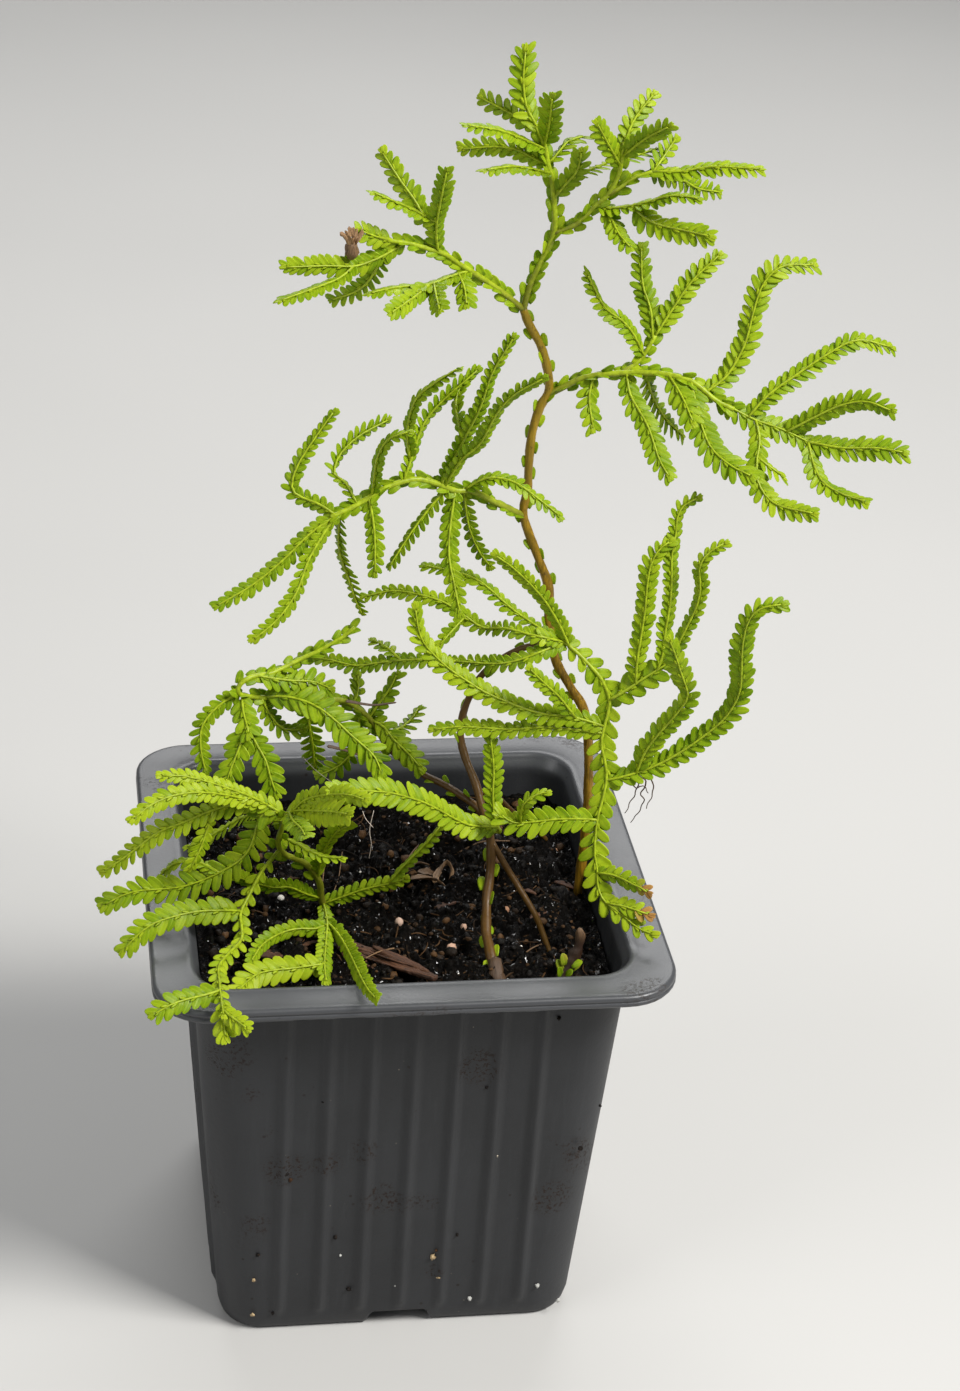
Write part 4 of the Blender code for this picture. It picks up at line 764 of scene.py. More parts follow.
def clothe_frond(skin, stems, noise, frond, tone, dry, lush, turned):
    """Side leaves in pairs along one frond, small leaves on top of it, a bud at its tip and its rib.
    dry is how dry it is in the middle and at the tip, lush the leaves' length against the usual, and
    turned the share of its turn that it keeps."""
    sizes = bpy.context.scene.spikemoss_sizes
    path, full, turn, sparse = frond
    tangents, sides, faces = frames(path, turned * turn)
    total = whole_length(path)
    shares = np.linspace(0.0, 1.0, len(path))
    widths = full * np.interp(shares, (0.0, 0.12, 0.75, 1.0), (0.78, 1.0, 1.0, 0.60))
    pitch = (2.3 if sparse else float(np.clip(0.25 * full + 0.50, 0.95, 2.0))) / sizes.leaf_closeness
    count = max(3, int(total / pitch))
    frond_tone = tone + 0.07 * noise.normal()
    tracks = (path, tangents, sides, faces, widths)
    for sign in (1.0, -1.0):
        at = np.clip((np.arange(count) + 0.45 + 0.22 * sign) * total / count, 0.0, total)
        base, tangent, side, face, width = read_along(path, tracks, at)
        share = at / total
        if sparse:
            angle = np.radians(np.interp(share, (0.0, 1.0), (50.0, 44.0)))
        else:
            angle = np.radians(np.interp(share, (0.0, 0.12, 0.75, 1.0), (46.0, 52.0, 49.0, 33.0)))
        length = lush * sizes.leaf_length * np.clip(0.54 * width / np.sin(angle), 0.9, 0.80 * full)
        room = sizes.leaf_width * (total / count) * np.sin(np.maximum(angle, 0.7))
        leaf_tone = np.clip(frond_tone + 0.10 * share + 0.09 * noise.normal(size=count), 0.0, 1.0)
        leaf_dry = np.clip(np.interp(share, (0.0, 0.6, 1.0), (0.0, dry[0], dry[1]))
                           + 0.05 * noise.normal(size=count), 0.0, 1.2)
        set_leaves(skin, noise, base - 0.12 * sign * side, unit_rows(tangent), unit_rows(side),
                   unit_rows(face), angle, sign, length, np.minimum(room, 0.60 * length),
                   sizes.leaf_droop, leaf_tone, leaf_dry)
    at = np.clip((np.arange(count) + 0.7) * total / count, 0.0, total)
    base, tangent, side, face, width = read_along(path, tracks, at)
    sign = np.where(np.arange(count) % 2, 1.0, -1.0)
    length = np.clip(0.32 * width, 0.6, 1.3)
    small_tone = np.clip(frond_tone + 0.16 + 0.08 * noise.normal(size=count), 0, 1)
    set_leaves(skin, noise, base + 0.14 * unit_rows(face) + 0.14 * sign[:, None] * unit_rows(side),
               unit_rows(tangent), unit_rows(side), unit_rows(face),
               np.full(count, np.radians(16.0)), sign, length, 0.44 * length, -0.03, small_tone,
               np.full(count, dry[0] * 0.5), rows=4, around=4, thick=0.14, cup=-0.05, bend=0.05)
    three = np.ones((3, 1))
    set_leaves(skin, noise, *(three * way[-1] for way in (path, tangents, sides, faces)),
               np.radians(np.array([20.0, 20.0, 2.0])), np.array([1.0, -1.0, 1.0]),
               np.full(3, 0.36 * full), np.full(3, 0.17 * full), 0.1,
               np.full(3, min(1.0, frond_tone + 0.2)), np.full(3, dry[1]))
    fine = resample(path + 0.17 * faces, np.linspace(0.0, total, max(4, int(total / 1.2))))
    tube(stems, fine, np.linspace(0.34 if sparse else 0.235, 0.14, len(fine)), around=6, tone=0.0)


def clothe_stem(skin, noise, path, radius, size, pitch, tone, shares, angle, swing, dry=0.12):
    """Single scale leaves up both sides of a bare stem, pressed to it, between two shares of its
    length. angle is how far they stand off and swing how far they stray from the two sides."""
    tangents, sides, faces = frames(path)
    total = whole_length(path)
    low, high = shares[0] * total, shares[1] * total
    count = max(2, int((high - low) / pitch))
    at = low + (np.arange(count) + 0.5) * (high - low) / count
    sign = np.where(np.arange(count) % 2, 1.0, -1.0)
    base, tangent, side, face, thick = read_along(path, (path, tangents, sides, faces, radius), at)
    swing = swing * noise.normal(size=count)[:, None]
    out = unit_rows(sign[:, None] * side + swing * face)
    set_leaves(skin, noise, base + out * thick[:, None] * 0.75, unit_rows(tangent), out,
               unit_rows(np.cross(out, tangent)) * sign[:, None], np.full(count, np.radians(angle)),
               1.0, np.full(count, size), np.full(count, 0.62 * size), 0.0,
               np.clip(tone + 0.1 * noise.normal(size=count), 0.0, 1.0),
               np.clip(dry + 0.15 * noise.normal(size=count), 0.0, 0.9), bend=-0.18)


# The routes of each spray. A stem has its points and the radius at its foot and its tip, and most
# have the length at the foot that carries nothing. A frond has its width as seen, the depth of its
# tip, its points, and where it isn't the usual one its leaf spacing.
CROWN_SPRAY_STEMS = (
    (((17.4, 186.4, 8.7), (18.3, 190.5, 8.5), (20, 195, 8.5), (21.7, 199.5, 8.5), (21.4, 204.4, 9),
     (20.9, 207.9, 9.5), (19.9, 211.3, 10), (19.2, 214.1, 10.5), (17.8, 217.2, 11)), 0.65, 0.45, 1.1),
    (((21.7, 199.5, 8.5), (24, 200.3, 7.5), (26.4, 202, 6.5), (28.1, 204.1, 6), (30.2, 206.1, 5),
     (31.6, 209.2, 4.5), (31.8, 211.3, 4), (32.1, 214.8, 4)), 0.5, 0.42),
    (((30.2, 206.1, 5), (32, 207.2, 4.4), (34.3, 208.9, 3.8), (37.1, 209.9, 3)), 0.45, 0.4),
)
CROWN_SPRAY_FRONDS = (
    (4.2, 14, ((17.8, 217.2), (16.8, 218.8), (15.7, 221), (15.1, 225), (15.2, 229.3))),
    (3.8, 5, ((19.2, 214.1), (19.7, 217.2), (19.9, 221.9))),
    (2.2, 16, ((17.8, 217.2), (14, 219.2), (8.8, 221.8))),
    (2.4, 4, ((18.8, 213.4), (16.1, 214.9), (11.9, 216.5), (6.8, 217.3))),
    (2.2, 14, ((19.9, 211.2), (17.4, 212.2), (14.7, 213.6), (10.9, 214), (6.1, 213.6))),
    (1.8, 2, ((20.6, 209.4), (17.1, 210.2), (14.3, 210.6), (10.2, 210))),
    (1.8, 13, ((20.2, 210.9), (21.6, 212.9), (22.9, 214.8), (25.4, 215.6))),
    (2.5, 5, ((21.4, 205.8), (23.3, 208.2), (24.8, 210), (25.2, 213))),
    (1.8, 12, ((24.2, 209.2), (27, 210.2), (29.9, 211.4))),
    (3.0, 8, ((32, 214.4), (33.3, 218.4), (36.1, 222.6))),
    (3.2, 0, ((31.7, 210.9), (29.7, 214.1), (27.5, 217.7))),
    (1.8, -2, ((32, 212.4), (35.4, 215.4), (39, 217.4))),
    (1.8, 8, ((31.8, 211.4), (34.7, 212.7), (37.6, 213.7))),
    (2.0, 7, ((37.1, 209.9), (38.6, 212.4), (40.3, 215.4))),
    (2.8, -3, ((36.9, 209.8), (41.9, 209.9), (47, 210.7), (54.6, 210.4))),
    (2.8, 9, ((36.6, 209.6), (41.9, 208.6), (44.7, 207.2), (48.3, 206.6))),
    (2.2, -5, ((28.1, 203.9), (30.5, 203.7), (33.3, 203.9), (37.1, 204.8), (40.6, 205.8),
     (44.9, 205.4))),
    (4.2, -9, ((34.6, 203.9), (36, 202.4), (38.5, 201), (41.9, 200.2), (47.3, 199))),
    (3.2, -3, ((29.9, 203.8), (30.9, 202), (32.3, 199.4), (34.3, 197.2))),
)
UPPER_LEFT_SPRAY_STEMS = (
    (((17.4, 186.4, 8.7), (13.8, 189.3, 7), (9.8, 192.1, 5), (6.5, 194.2, 3.5), (3.8, 196, 2),
     (1.1, 196.9, 1), (-1.7, 197.7, 0), (-4.1, 198.1, -1), (-6.8, 198.7, -2)), 0.6, 0.42, 1.15),
)
UPPER_LEFT_SPRAY_FRONDS = (
    (3.0, -4, ((-5, 198.2), (-7.4, 198.9), (-10, 200))),
    (3.2, -5, ((3, 196.4), (2.3, 200.2), (2.7, 203.9), (3.6, 209.7))),
    (3.0, 5, ((2.2, 201), (0.2, 202.4), (-1.1, 204.8), (-3.8, 208.4), (-6.7, 212.8))),
    (1.8, -4, ((0.9, 201.9), (-1.7, 203.4), (-4.4, 204.6), (-7.7, 206))),
    (2.2, -8, ((-3, 197.8), (-5.6, 196), (-8, 194.8), (-10.8, 193.9), (-15, 194), (-21.6, 193.8))),
    (2.4, -13, ((-10.4, 193.9), (-12.9, 191.8), (-16.5, 190.2), (-22.2, 188))),
    (3.0, 3, ((-6.2, 195.6), (-8, 191.8), (-10.2, 189.6), (-13.9, 188.2))),
    (2.0, -7, ((8.4, 193), (5.9, 192.3), (3.5, 191.3), (1.1, 190.5), (-3.8, 190.1), (-7.7, 189.2))),
    (2.4, -11, ((1.4, 190.6), (-1.1, 188.3), (-4.3, 186))),
    (2.6, -9, ((2, 190.8), (3, 188.6), (3.6, 186.4))),
    (3.5, -4, ((6.7, 192.6), (7.5, 190), (7.9, 187.4))),
)
RIGHT_SPRAY_STEMS = (
    (((22.5, 171.2, 10), (24.9, 172.5, 9.5), (27.4, 173.8, 9), (30.3, 174.6, 8), (34.7, 175, 7),
     (39.5, 175, 5.5), (42.8, 174.6, 4.5), (47, 173.3, 3), (51.2, 170, 1.5), (54.5, 168.3, 0.5)), 0.65,
     0.5, 1.2),
    (((34.7, 175, 7), (37.8, 177.5, 8), (39.9, 181.7, 9)), 0.45, 0.4),
)
RIGHT_SPRAY_FRONDS = (
    (3.8, -3, ((50.5, 170.6), (54.5, 168.3), (58.3, 166.3), (62, 165), (65.8, 163.3), (69.4, 161.4))),
    (3.8, -10, ((68, 162), (74.1, 160.9), (80.3, 160.8), (85, 160))),
    (3.2, 12, ((39.9, 181.7), (42.4, 186.3), (45.3, 191.3), (49.3, 195.6))),
    (3.4, 15, ((39.6, 181.2), (38.7, 186.3), (37, 190.8), (36.3, 196.9))),
    (2.6, 6, ((38, 178.4), (36.2, 181.7), (34.1, 184.2), (30.8, 186.7), (27.7, 192.1))),
    (3.0, 4, ((29.7, 174.6), (29.4, 170.8), (30.5, 165.2))),
    (3.6, -8, ((35.3, 175), (36.6, 170.8), (39.9, 165.4), (42.4, 159.2), (44.3, 156.1))),
    (2.8, 8, ((38.7, 175), (40.3, 170.6), (42.8, 166.7), (46, 163.6))),
    (4.0, -4, ((42.8, 174.6), (45.3, 170.8), (47.6, 166.2))),
    (4.4, -12, ((46.6, 173.2), (48.7, 166.7), (51.2, 161.3), (54.9, 157.9), (58.6, 155.9))),
    (3.8, 10, ((49.3, 171.8), (52.8, 174.4), (55.3, 180), (56.2, 185.8), (57.4, 190.8), (60.3, 193.8),
     (65.4, 194))),
    (3.2, 4, ((57, 167), (60.3, 170.8), (64.5, 174.2), (69.5, 177.9), (74.5, 180.6), (80.7, 179.3))),
    (2.6, -8, ((64.6, 163.9), (68.7, 166.7), (72.8, 168.8), (77.4, 169.6), (81.9, 167.9))),
    (3.0, -16, ((68.4, 161.8), (69.5, 157.9), (71.6, 154.4), (75.3, 152.1), (79.4, 150.7))),
    (3.4, -14, ((58.3, 166.3), (59.6, 162.5), (59.5, 158.3), (60.3, 154.2), (63.7, 150.4),
     (70.4, 148.6))),
    (1.8, -6, ((59.6, 159.6), (61.8, 157.4), (64.3, 155.7))),
)
LEFT_SPRAY_STEMS = (
    (((19.6, 149.0, 8.4), (15.2, 151.2, 6), (10.8, 153.6, 4), (7.6, 153.8, 3), (4.4, 155.2, 2),
     (0.8, 156, 1), (-3.6, 154.8, 0), (-6.8, 152.8, -1), (-10, 150.8, -2), (-13.2, 149.2, -3)), 0.7,
     0.5, 1.2),
)
LEFT_SPRAY_FRONDS = (
    (3.0, -4, ((9, 153.8), (13.2, 156), (17.6, 155.2), (22, 152), (25.8, 148.8))),
    (3.0, 2, ((9.2, 153.6), (10.4, 147.2), (12.4, 142.4), (14.4, 139.6))),
    (3.8, -7, ((8, 153.8), (7.2, 147.2), (7.2, 141.6), (8.4, 136), (9.6, 130.8))),
    (2.8, -2, ((6.4, 154.4), (3.2, 150), (0.4, 145.6), (-2.7, 140))),
    (3.4, -6, ((-6.8, 152.8), (-6, 148), (-5.6, 144), (-5.4, 138.8))),
    (3.6, -10, ((-11.6, 150), (-16.8, 146), (-20.8, 141.6), (-26, 136.8), (-32, 132.9))),
    (2.6, -14, ((-12.8, 149.4), (-16.8, 141.6), (-18.8, 135.2), (-22, 130), (-25.8, 126.4))),
    (2.4, 1, ((-11.4, 150), (-11.6, 143.2), (-10, 138), (-8.4, 133.2), (-7.4, 131))),
    (3.2, 4, ((-12.4, 149.6), (-15.2, 151.6), (-18, 152.8), (-20, 154.4), (-19.2, 158.4),
     (-16.8, 162.8), (-13.4, 168.2))),
    (2.2, 9, ((-9.2, 151.3), (-11.2, 155.6), (-13, 156.8), (-12.4, 160.4), (-9.2, 164), (-4.4, 166.9))),
    (2.4, -8, ((-6, 153.4), (-6, 156.8), (-5.6, 160), (-4, 163.2), (-0.7, 164.5))),
    (2.2, 7, ((-1.6, 155.5), (0, 160.4), (1.6, 166), (4.4, 170), (10.2, 175.7))),
    (2.2, -5, ((0, 160), (-0.8, 164.8), (0.4, 170.4), (3.6, 173.4), (7, 175.8))),
    (2.8, -2, ((5.4, 154.8), (7.6, 160.8), (9.2, 164.4), (11.2, 169.2), (12.8, 175.2), (15.9, 181.2))),
    (2.4, 9, ((8.8, 163.6), (7.2, 168.8), (7.6, 172.4), (9.7, 175.8))),
    (2.2, -8, ((6, 154.6), (8.4, 159.6), (11.4, 162.4), (14, 168), (16.8, 171.4), (21.3, 174.1))),
)
RIGHT_AXIS = (
    (23.6, 124, -3.6), (26, 124.5, -5), (28.4, 124.3, -5.8), (31, 122, -7), (33.4, 119.4, -8),
    (35.4, 117, -9), (37.2, 113, -10), (37.2, 109.5, -11), (36.6, 106, -12), (36.6, 103, -13),
    (37.4, 100, -14), (38, 96.6, -15), (37.6, 92, -16.5), (37, 88.5, -17.5), (36.8, 84, -18.5),
    (37, 80, -19.5), (37.7, 77, -20.5), (37.9, 74, -21.5), (38.6, 71.6, -22.5), (39.7, 69.8, -23.5),
    (42, 67.8, -25.4), (44, 66, -26.6), (45.6, 64.4, -27.8), (47.2, 63.2, -29), (48.8, 62.6, -30),
)
RIGHT_SHOOT_STEMS = (
    (RIGHT_AXIS[:3], 0.55, 0.5, 0.8),
)
RIGHT_SHOOT_FRONDS = (
    (5.2, -30, RIGHT_AXIS[2:], 4.8),
    (5.0, -12, ((37.3, 112.6), (39, 113.6), (41, 115), (43, 116.6), (45, 118), (47.2, 119.6)), 4.4),
    (2.8, -8, ((29, 123.7), (28, 126.6), (26, 130.2), (24, 133.2), (21, 136.6), (18, 139.5),
     (15.4, 141.4))),
    (3.0, 8, ((28, 124.4), (26, 125.8), (23.5, 127.4), (21, 129.2), (18, 131.6), (14, 135.5),
     (11, 137.5), (8, 138.5), (3.2, 139.7))),
    (3.4, 6, ((28, 124.4), (24.5, 125.4, -8), (22, 126, -7), (18, 127.3, -5), (14, 127.5), (11, 129.5),
     (7, 132.5), (3, 134), (-2, 135), (-7, 134))),
    (3.8, -1, ((28, 124.2), (24, 122.4, -8), (21, 121.1, -8), (18, 120.4, -7), (15, 120.4, -5),
     (12, 120.7, -3), (9.4, 121, -1))),
    (3.4, 11, ((9.6, 121), (6, 121.4, 1.5), (2, 121.5), (-2, 121.3), (-5, 120.9), (-8, 120.5),
     (-11, 121.3), (-14, 122.1), (-17.4, 122.3))),
    (3.0, 9, ((-0.2, 121.4), (-2.6, 123.8), (-5.3, 125.4))),
    (1.8, -4, ((10, 130), (8.2, 127), (6.4, 124.6))),
    (3.6, -8, ((36.6, 106), (33, 106.4), (29, 107), (25, 107.3), (20, 107), (15, 107.5), (10, 107.8),
     (6.3, 107.4))),
    (4.4, -8, ((36.8, 107), (33, 108.6), (29.5, 109.5), (26, 109.9), (22.5, 111), (19, 112.6),
     (15, 114.6), (11.6, 117), (8.2, 119.6), (5.6, 122.2), (3.4, 125), (2.4, 128), (1.9, 131.2))),
    (3.4, -14, ((31.5, 109), (30, 111), (28.2, 113.4), (26, 115.6), (24.2, 117.4), (22.7, 119))),
    (4.0, -8, ((41.8, 115.6), (41.7, 120), (42, 125), (42.3, 130), (42.3, 135), (42.6, 139),
     (43.8, 142), (45.5, 143.5))),
    (3.0, -6, ((45.4, 118.3), (46.2, 121.5), (46.2, 126), (46.6, 131), (46.5, 136), (46.1, 141),
     (46.5, 145), (46.4, 148), (47.3, 150.4), (49.6, 151.8))),
    (3.0, -12, ((47.1, 119.5), (48.4, 121.6), (49.5, 125), (50.6, 128), (51.7, 131.4), (51.9, 135),
     (51.3, 138.4), (52.5, 141), (55.2, 143))),
    (4.6, -21, ((38, 95.8), (41, 96.6), (44, 97.6), (47, 98.8), (50, 100.6), (53, 102.8), (56, 105.4),
     (58.5, 108), (60.2, 111), (61, 114.2), (60.8, 118), (60.5, 122), (60.7, 126), (61.6, 129),
     (63.6, 130.5), (66.6, 130.9))),
    (4.2, -22, ((43, 97.4), (44.6, 101.6), (46.6, 105), (48.8, 108), (50.8, 111), (51.6, 113),
     (50.8, 115.4), (49.7, 118), (48.6, 121), (47.3, 124))),
    (5.4, -16, ((37, 88.3), (33, 88), (29, 88), (25, 87.6), (21.5, 87.6), (19.3, 89.2))),
    (2.2, -18, ((22.4, 88), (23, 91), (24.6, 92.8), (27, 93.8))),
    (3.0, -27, ((37.9, 76.8), (40, 76), (42.4, 75), (44.2, 73.8), (45.8, 73), (47.4, 71.8))),
    (3.8, -28, ((39.8, 69.9), (42, 69.1), (44, 68.5), (46, 67.6), (48, 66.8))),
)
LOW_SPRAY_STEMS = (
    (((17.2, 86.4, -8.3), (19.0, 85.8, -11.0), (18.6, 86.8, -12.5)), 0.5, 0.45, 1.5),
)
LOW_SPRAY_FRONDS = (
    (4.8, -25, ((18.6, 86.8), (14, 87.2), (11, 88.6), (8, 90.6), (5, 92.4), (2, 93.6), (-1, 94.6),
     (-4, 95), (-7.5, 95.2), (-11, 95.4))),
    (3.4, -9, ((18.6, 86.8), (17.9, 89.5), (17.4, 94), (17.3, 99), (16.4, 105.2))),
)
SHADE_SPRAY_STEMS = (
    (((-3.4, 106.6, 9.0), (-4.4, 108.6, 9.2), (-6, 110.6, 9), (-9.5, 113.4, 8), (-14, 114, 6),
     (-18, 114.5, 4), (-23, 114.6, 2), (-27, 115, 0), (-28.6, 115.8, -1), (-28, 117.6, -1),
     (-26, 118.9, 0), (-22.5, 119.6, 2), (-18, 122, 4), (-14, 124, 5), (-10.5, 126.3, 6),
     (-8.6, 128, 6.4)), 0.6, 0.42, 0.7),
)
SHADE_SPRAY_FRONDS = (
    (3.2, -6, ((-28.6, 115.2), (-31, 114), (-33, 112), (-34.6, 109.5), (-35, 106.5), (-34.7, 103),
     (-34, 100.2))),
    (4.2, -7, ((-28, 115), (-27.6, 112), (-27, 109.6), (-26.6, 107.8))),
    (4.6, -11, ((-26.8, 108.6), (-25, 105), (-23.5, 102), (-22.6, 98.5), (-21.7, 95.6))),
    (4.6, -10, ((-27, 109), (-28.2, 104.5), (-29.4, 101), (-30.3, 97.8))),
    (5.2, -9, ((-24, 114.6), (-21, 114.8), (-18, 114.2), (-15, 112.8), (-12.5, 110.8), (-10.5, 108.8),
     (-8.3, 106.4), (-6, 104.2), (-4, 101.8), (-3, 99))),
    (4.4, 3, ((-25.5, 119), (-21.5, 118.2), (-18.5, 117.8), (-15.5, 117.6), (-12.6, 116.2))),
    (3.2, 0, ((-24.5, 114.6), (-22.6, 110.6), (-20.5, 108.2), (-17.3, 108))),
    (4.2, 9, ((-16.5, 114.2), (-16, 109.5), (-15.3, 105), (-14.8, 100.6))),
    (4.2, 12, ((-7, 111.4), (-7.4, 107), (-8.2, 103.4), (-10.6, 100.4), (-13.8, 98.8))),
    (4.4, 2, ((-5, 109.6), (-3, 108.4), (-1, 105.6), (1.5, 102.9), (3.8, 100))),
    (2.6, 12, ((-1.8, 106.8), (0.6, 108), (2.2, 109.8), (3.2, 111.6))),
    (2.4, 12, ((-8.6, 112.8), (-7.6, 115.5), (-7.8, 118.6))),
    (2.8, 11, ((-5.6, 110), (-3.4, 113.4), (-2, 115.6), (-0.9, 118.4))),
)
LEFT_CHAIN = (
    (-20.6, 83.4, -10.4), (-23.5, 79.5, -12), (-25, 76.5, -13.5), (-26.4, 73, -15.5), (-27.6, 70, -18),
    (-27.2, 66.5, -21.5), (-27.4, 64, -25), (-29.4, 61.6, -29), (-31.4, 58.6, -34), (-31.2, 55, -40),
    (-30.8, 51, -45.5), (-30.4, 48, -49.5),
)
LEFT_SHOOT_STEMS = (
    (((-12.2, 65.6, -3), (-12.2, 70, -3), (-13, 73, -4), (-13.3, 76, -5), (-14.8, 79, -6.5),
     (-17, 81, -8), (-19.6, 82.3, -9.5), (-21, 84.5, -11), (-20.4, 88, -13), (-19.6, 91, -15)), 0.75,
     0.5),
)
LEFT_SHOOT_FRONDS = (
    (3.4, -49.5, LEFT_CHAIN, 4.8),
    (4.6, -51.5, ((-30.6, 50.4), (-30.4, 47), (-30, 43.2)), 3.4),
    (4.4, -47.5, ((-31, 53.5), (-34, 52.4, -43.4), (-37, 51.7, -45), (-40, 50.6, -46.4),
     (-42.8, 48.8))),
    (3.6, -53, ((-30.5, 49), (-28.6, 47), (-26.2, 44.8)), 3.4),
    (3.0, -30, ((-12.4, 71.4), (-11.8, 68, -9.8), (-11.8, 65, -14.6), (-12, 61, -21.4),
     (-12, 57.5, -27), (-11.6, 54.6, -31))),
    (2.8, -48, ((-11.8, 68.2), (-9.6, 65, -15), (-8, 62, -21), (-6.5, 58.6, -30.5), (-5, 55, -39),
     (-3.6, 52.2, -44.4), (-2.2, 50.4))),
    (3.0, -24, ((-12, 67.4), (-14, 66.2, -13), (-16.5, 66.4, -13.5), (-19, 66, -14.5),
     (-21.5, 64.8, -16.6), (-23.8, 62.8, -19.6), (-25.4, 59.8))),
    (5.0, -36, ((-12, 58.6), (-15, 58, -26.5), (-18, 57.6, -27), (-21, 57.4, -28), (-24, 56.8, -29.6),
     (-26.2, 55, -32), (-28.2, 52.4))),
    (2.6, -12.5, ((-12.9, 72.6), (-16, 74), (-19, 75.6), (-21.5, 75.4), (-24, 76.2), (-27, 77.4),
     (-29.2, 78.8))),
    (3.0, -4, ((-12.6, 71.8), (-9, 73), (-6, 74.2), (-3, 75), (0, 75.6), (2, 76.4))),
    (2.0, -5, ((-0.4, 75.7), (2.5, 79.6), (5, 82.6), (7, 85.2), (8.2, 87))),
    (2.6, -15, ((-13.6, 77), (-13.2, 81.4), (-12, 84.6), (-10.4, 87), (-8.2, 88.2))),
    (2.0, -18, ((-20.8, 86), (-18, 84.6), (-15, 82.6), (-12.4, 81.4), (-9.6, 81.2))),
    (2.4, -5, ((-20.2, 89), (-24, 91, -9), (-28, 90, -6), (-31, 88, -5), (-34, 86, -5), (-37, 84.5))),
    (4.2, -16, ((-19.9, 90.4), (-24, 93.2), (-28, 93), (-31, 92.6), (-34, 91.5), (-38, 89.6), (-42, 88),
     (-45, 85.6), (-48, 83), (-51.7, 80.2))),
    (3.2, -20, ((-22.6, 92.6), (-26, 94.6), (-30, 96.4), (-34, 98), (-38, 99.2), (-41.6, 99.4))),
    (3.8, -27, ((-24.4, 93.4), (-30, 95), (-35, 95.8), (-40, 95.2), (-44, 93.2), (-46.5, 90.8))),
    (5.6, -15, ((-20.8, 91.4), (-23.6, 91.4), (-24.8, 88.5), (-25.6, 85), (-27.2, 82), (-30, 79.8),
     (-34, 77.6), (-38, 76.2), (-42, 75.8), (-46, 75.6), (-49, 74.6), (-51.6, 73))),
    (5.0, -26, ((-27.4, 71), (-31, 70.8, -19.5), (-35, 70.8, -20.5), (-39, 70, -22), (-43, 68.6, -23.5),
     (-46, 66.2, -25), (-48.3, 63.4))),
    (5.4, -36, ((-19.6, 91), (-17, 91.5), (-14, 91.2), (-11.5, 91), (-8.8, 90.4))),
    (3.6, -33, ((-18.6, 91.4), (-16, 93.8), (-12, 94.6), (-8.5, 94.4), (-5.8, 93.4))),
    (4.0, -38, ((-19.2, 91), (-18.4, 89.3), (-17, 87.8), (-16.2, 86.2)), 3.4),
    (2.4, -17, ((-32.6, 92.2), (-33.8, 88), (-35, 84), (-36.6, 80.2))),
    (2.4, -11, ((-31.6, 79), (-34.5, 80.9, -12.5), (-37.5, 81.6, -12), (-40, 80.7, -11.5),
     (-42, 78.6, -11), (-43, 77))),
)


# Name, stems, fronds and greenness, and for some fronds how much lighter they are and how dry in the
# middle and at the tip
SPRAYS = (
    ("crown_spray", CROWN_SPRAY_STEMS, CROWN_SPRAY_FRONDS, 0.58, {}),
    ("upper_left_spray", UPPER_LEFT_SPRAY_STEMS, UPPER_LEFT_SPRAY_FRONDS, 0.56, {}),
    ("right_spray", RIGHT_SPRAY_STEMS, RIGHT_SPRAY_FRONDS, 0.54, {}),
    ("left_spray", LEFT_SPRAY_STEMS, LEFT_SPRAY_FRONDS, 0.48, {0: (0.1, 0.0, 0.0)}),
    ("right_shoot", RIGHT_SHOOT_STEMS, RIGHT_SHOOT_FRONDS, 0.60,
     {0: (0.0, 0.1, 0.5), 8: (0.0, 0.2, 0.4), 19: (0.1, 0.35, 1.1), 20: (0.15, 0.4, 1.1)}),
    ("low_spray", LOW_SPRAY_STEMS, LOW_SPRAY_FRONDS, 0.66, {}),
    # The shade spray's low greenness is painted shade: it is painted deeper green for the shade it lies
    # in under the sprays above
    ("shade_spray", SHADE_SPRAY_STEMS, SHADE_SPRAY_FRONDS, 0.42, {}),
    ("left_shoot", LEFT_SHOOT_STEMS, LEFT_SHOOT_FRONDS, 0.58,
     {0: (0.15, 0.0, 0.0), 1: (0.42, 0.1, 0.2), 3: (0.42, 0.1, 0.2), 7: (0.2, 0.0, 0.0),
      14: (0.15, 0.0, 0.1), 15: (0.2, 0.0, 0.1), 16: (0.2, 0.0, 0.1), 19: (0.3, 0.0, 0.1),
      20: (0.3, 0.0, 0.1)}),
)

# How long the leaves of a spray are against the usual length, and how much of the turn its thin
# fronds keep
LUSH = {"crown_spray": (1.04, 0.72), "upper_left_spray": (1.03, 0.72), "right_spray": (1.12, 0.75),
        "right_shoot": (0.88, 0.9), "left_shoot": (0.92, 0.9), "left_spray": (0.90, 1.05)}


# Pot and soil
# How far each way from its middle a side's straight part is evenly sampled, which covers the ribs,
# and the place across the side that stands for a corner
FLAT_REACH = 24.5
ON_CORNER = 99.0


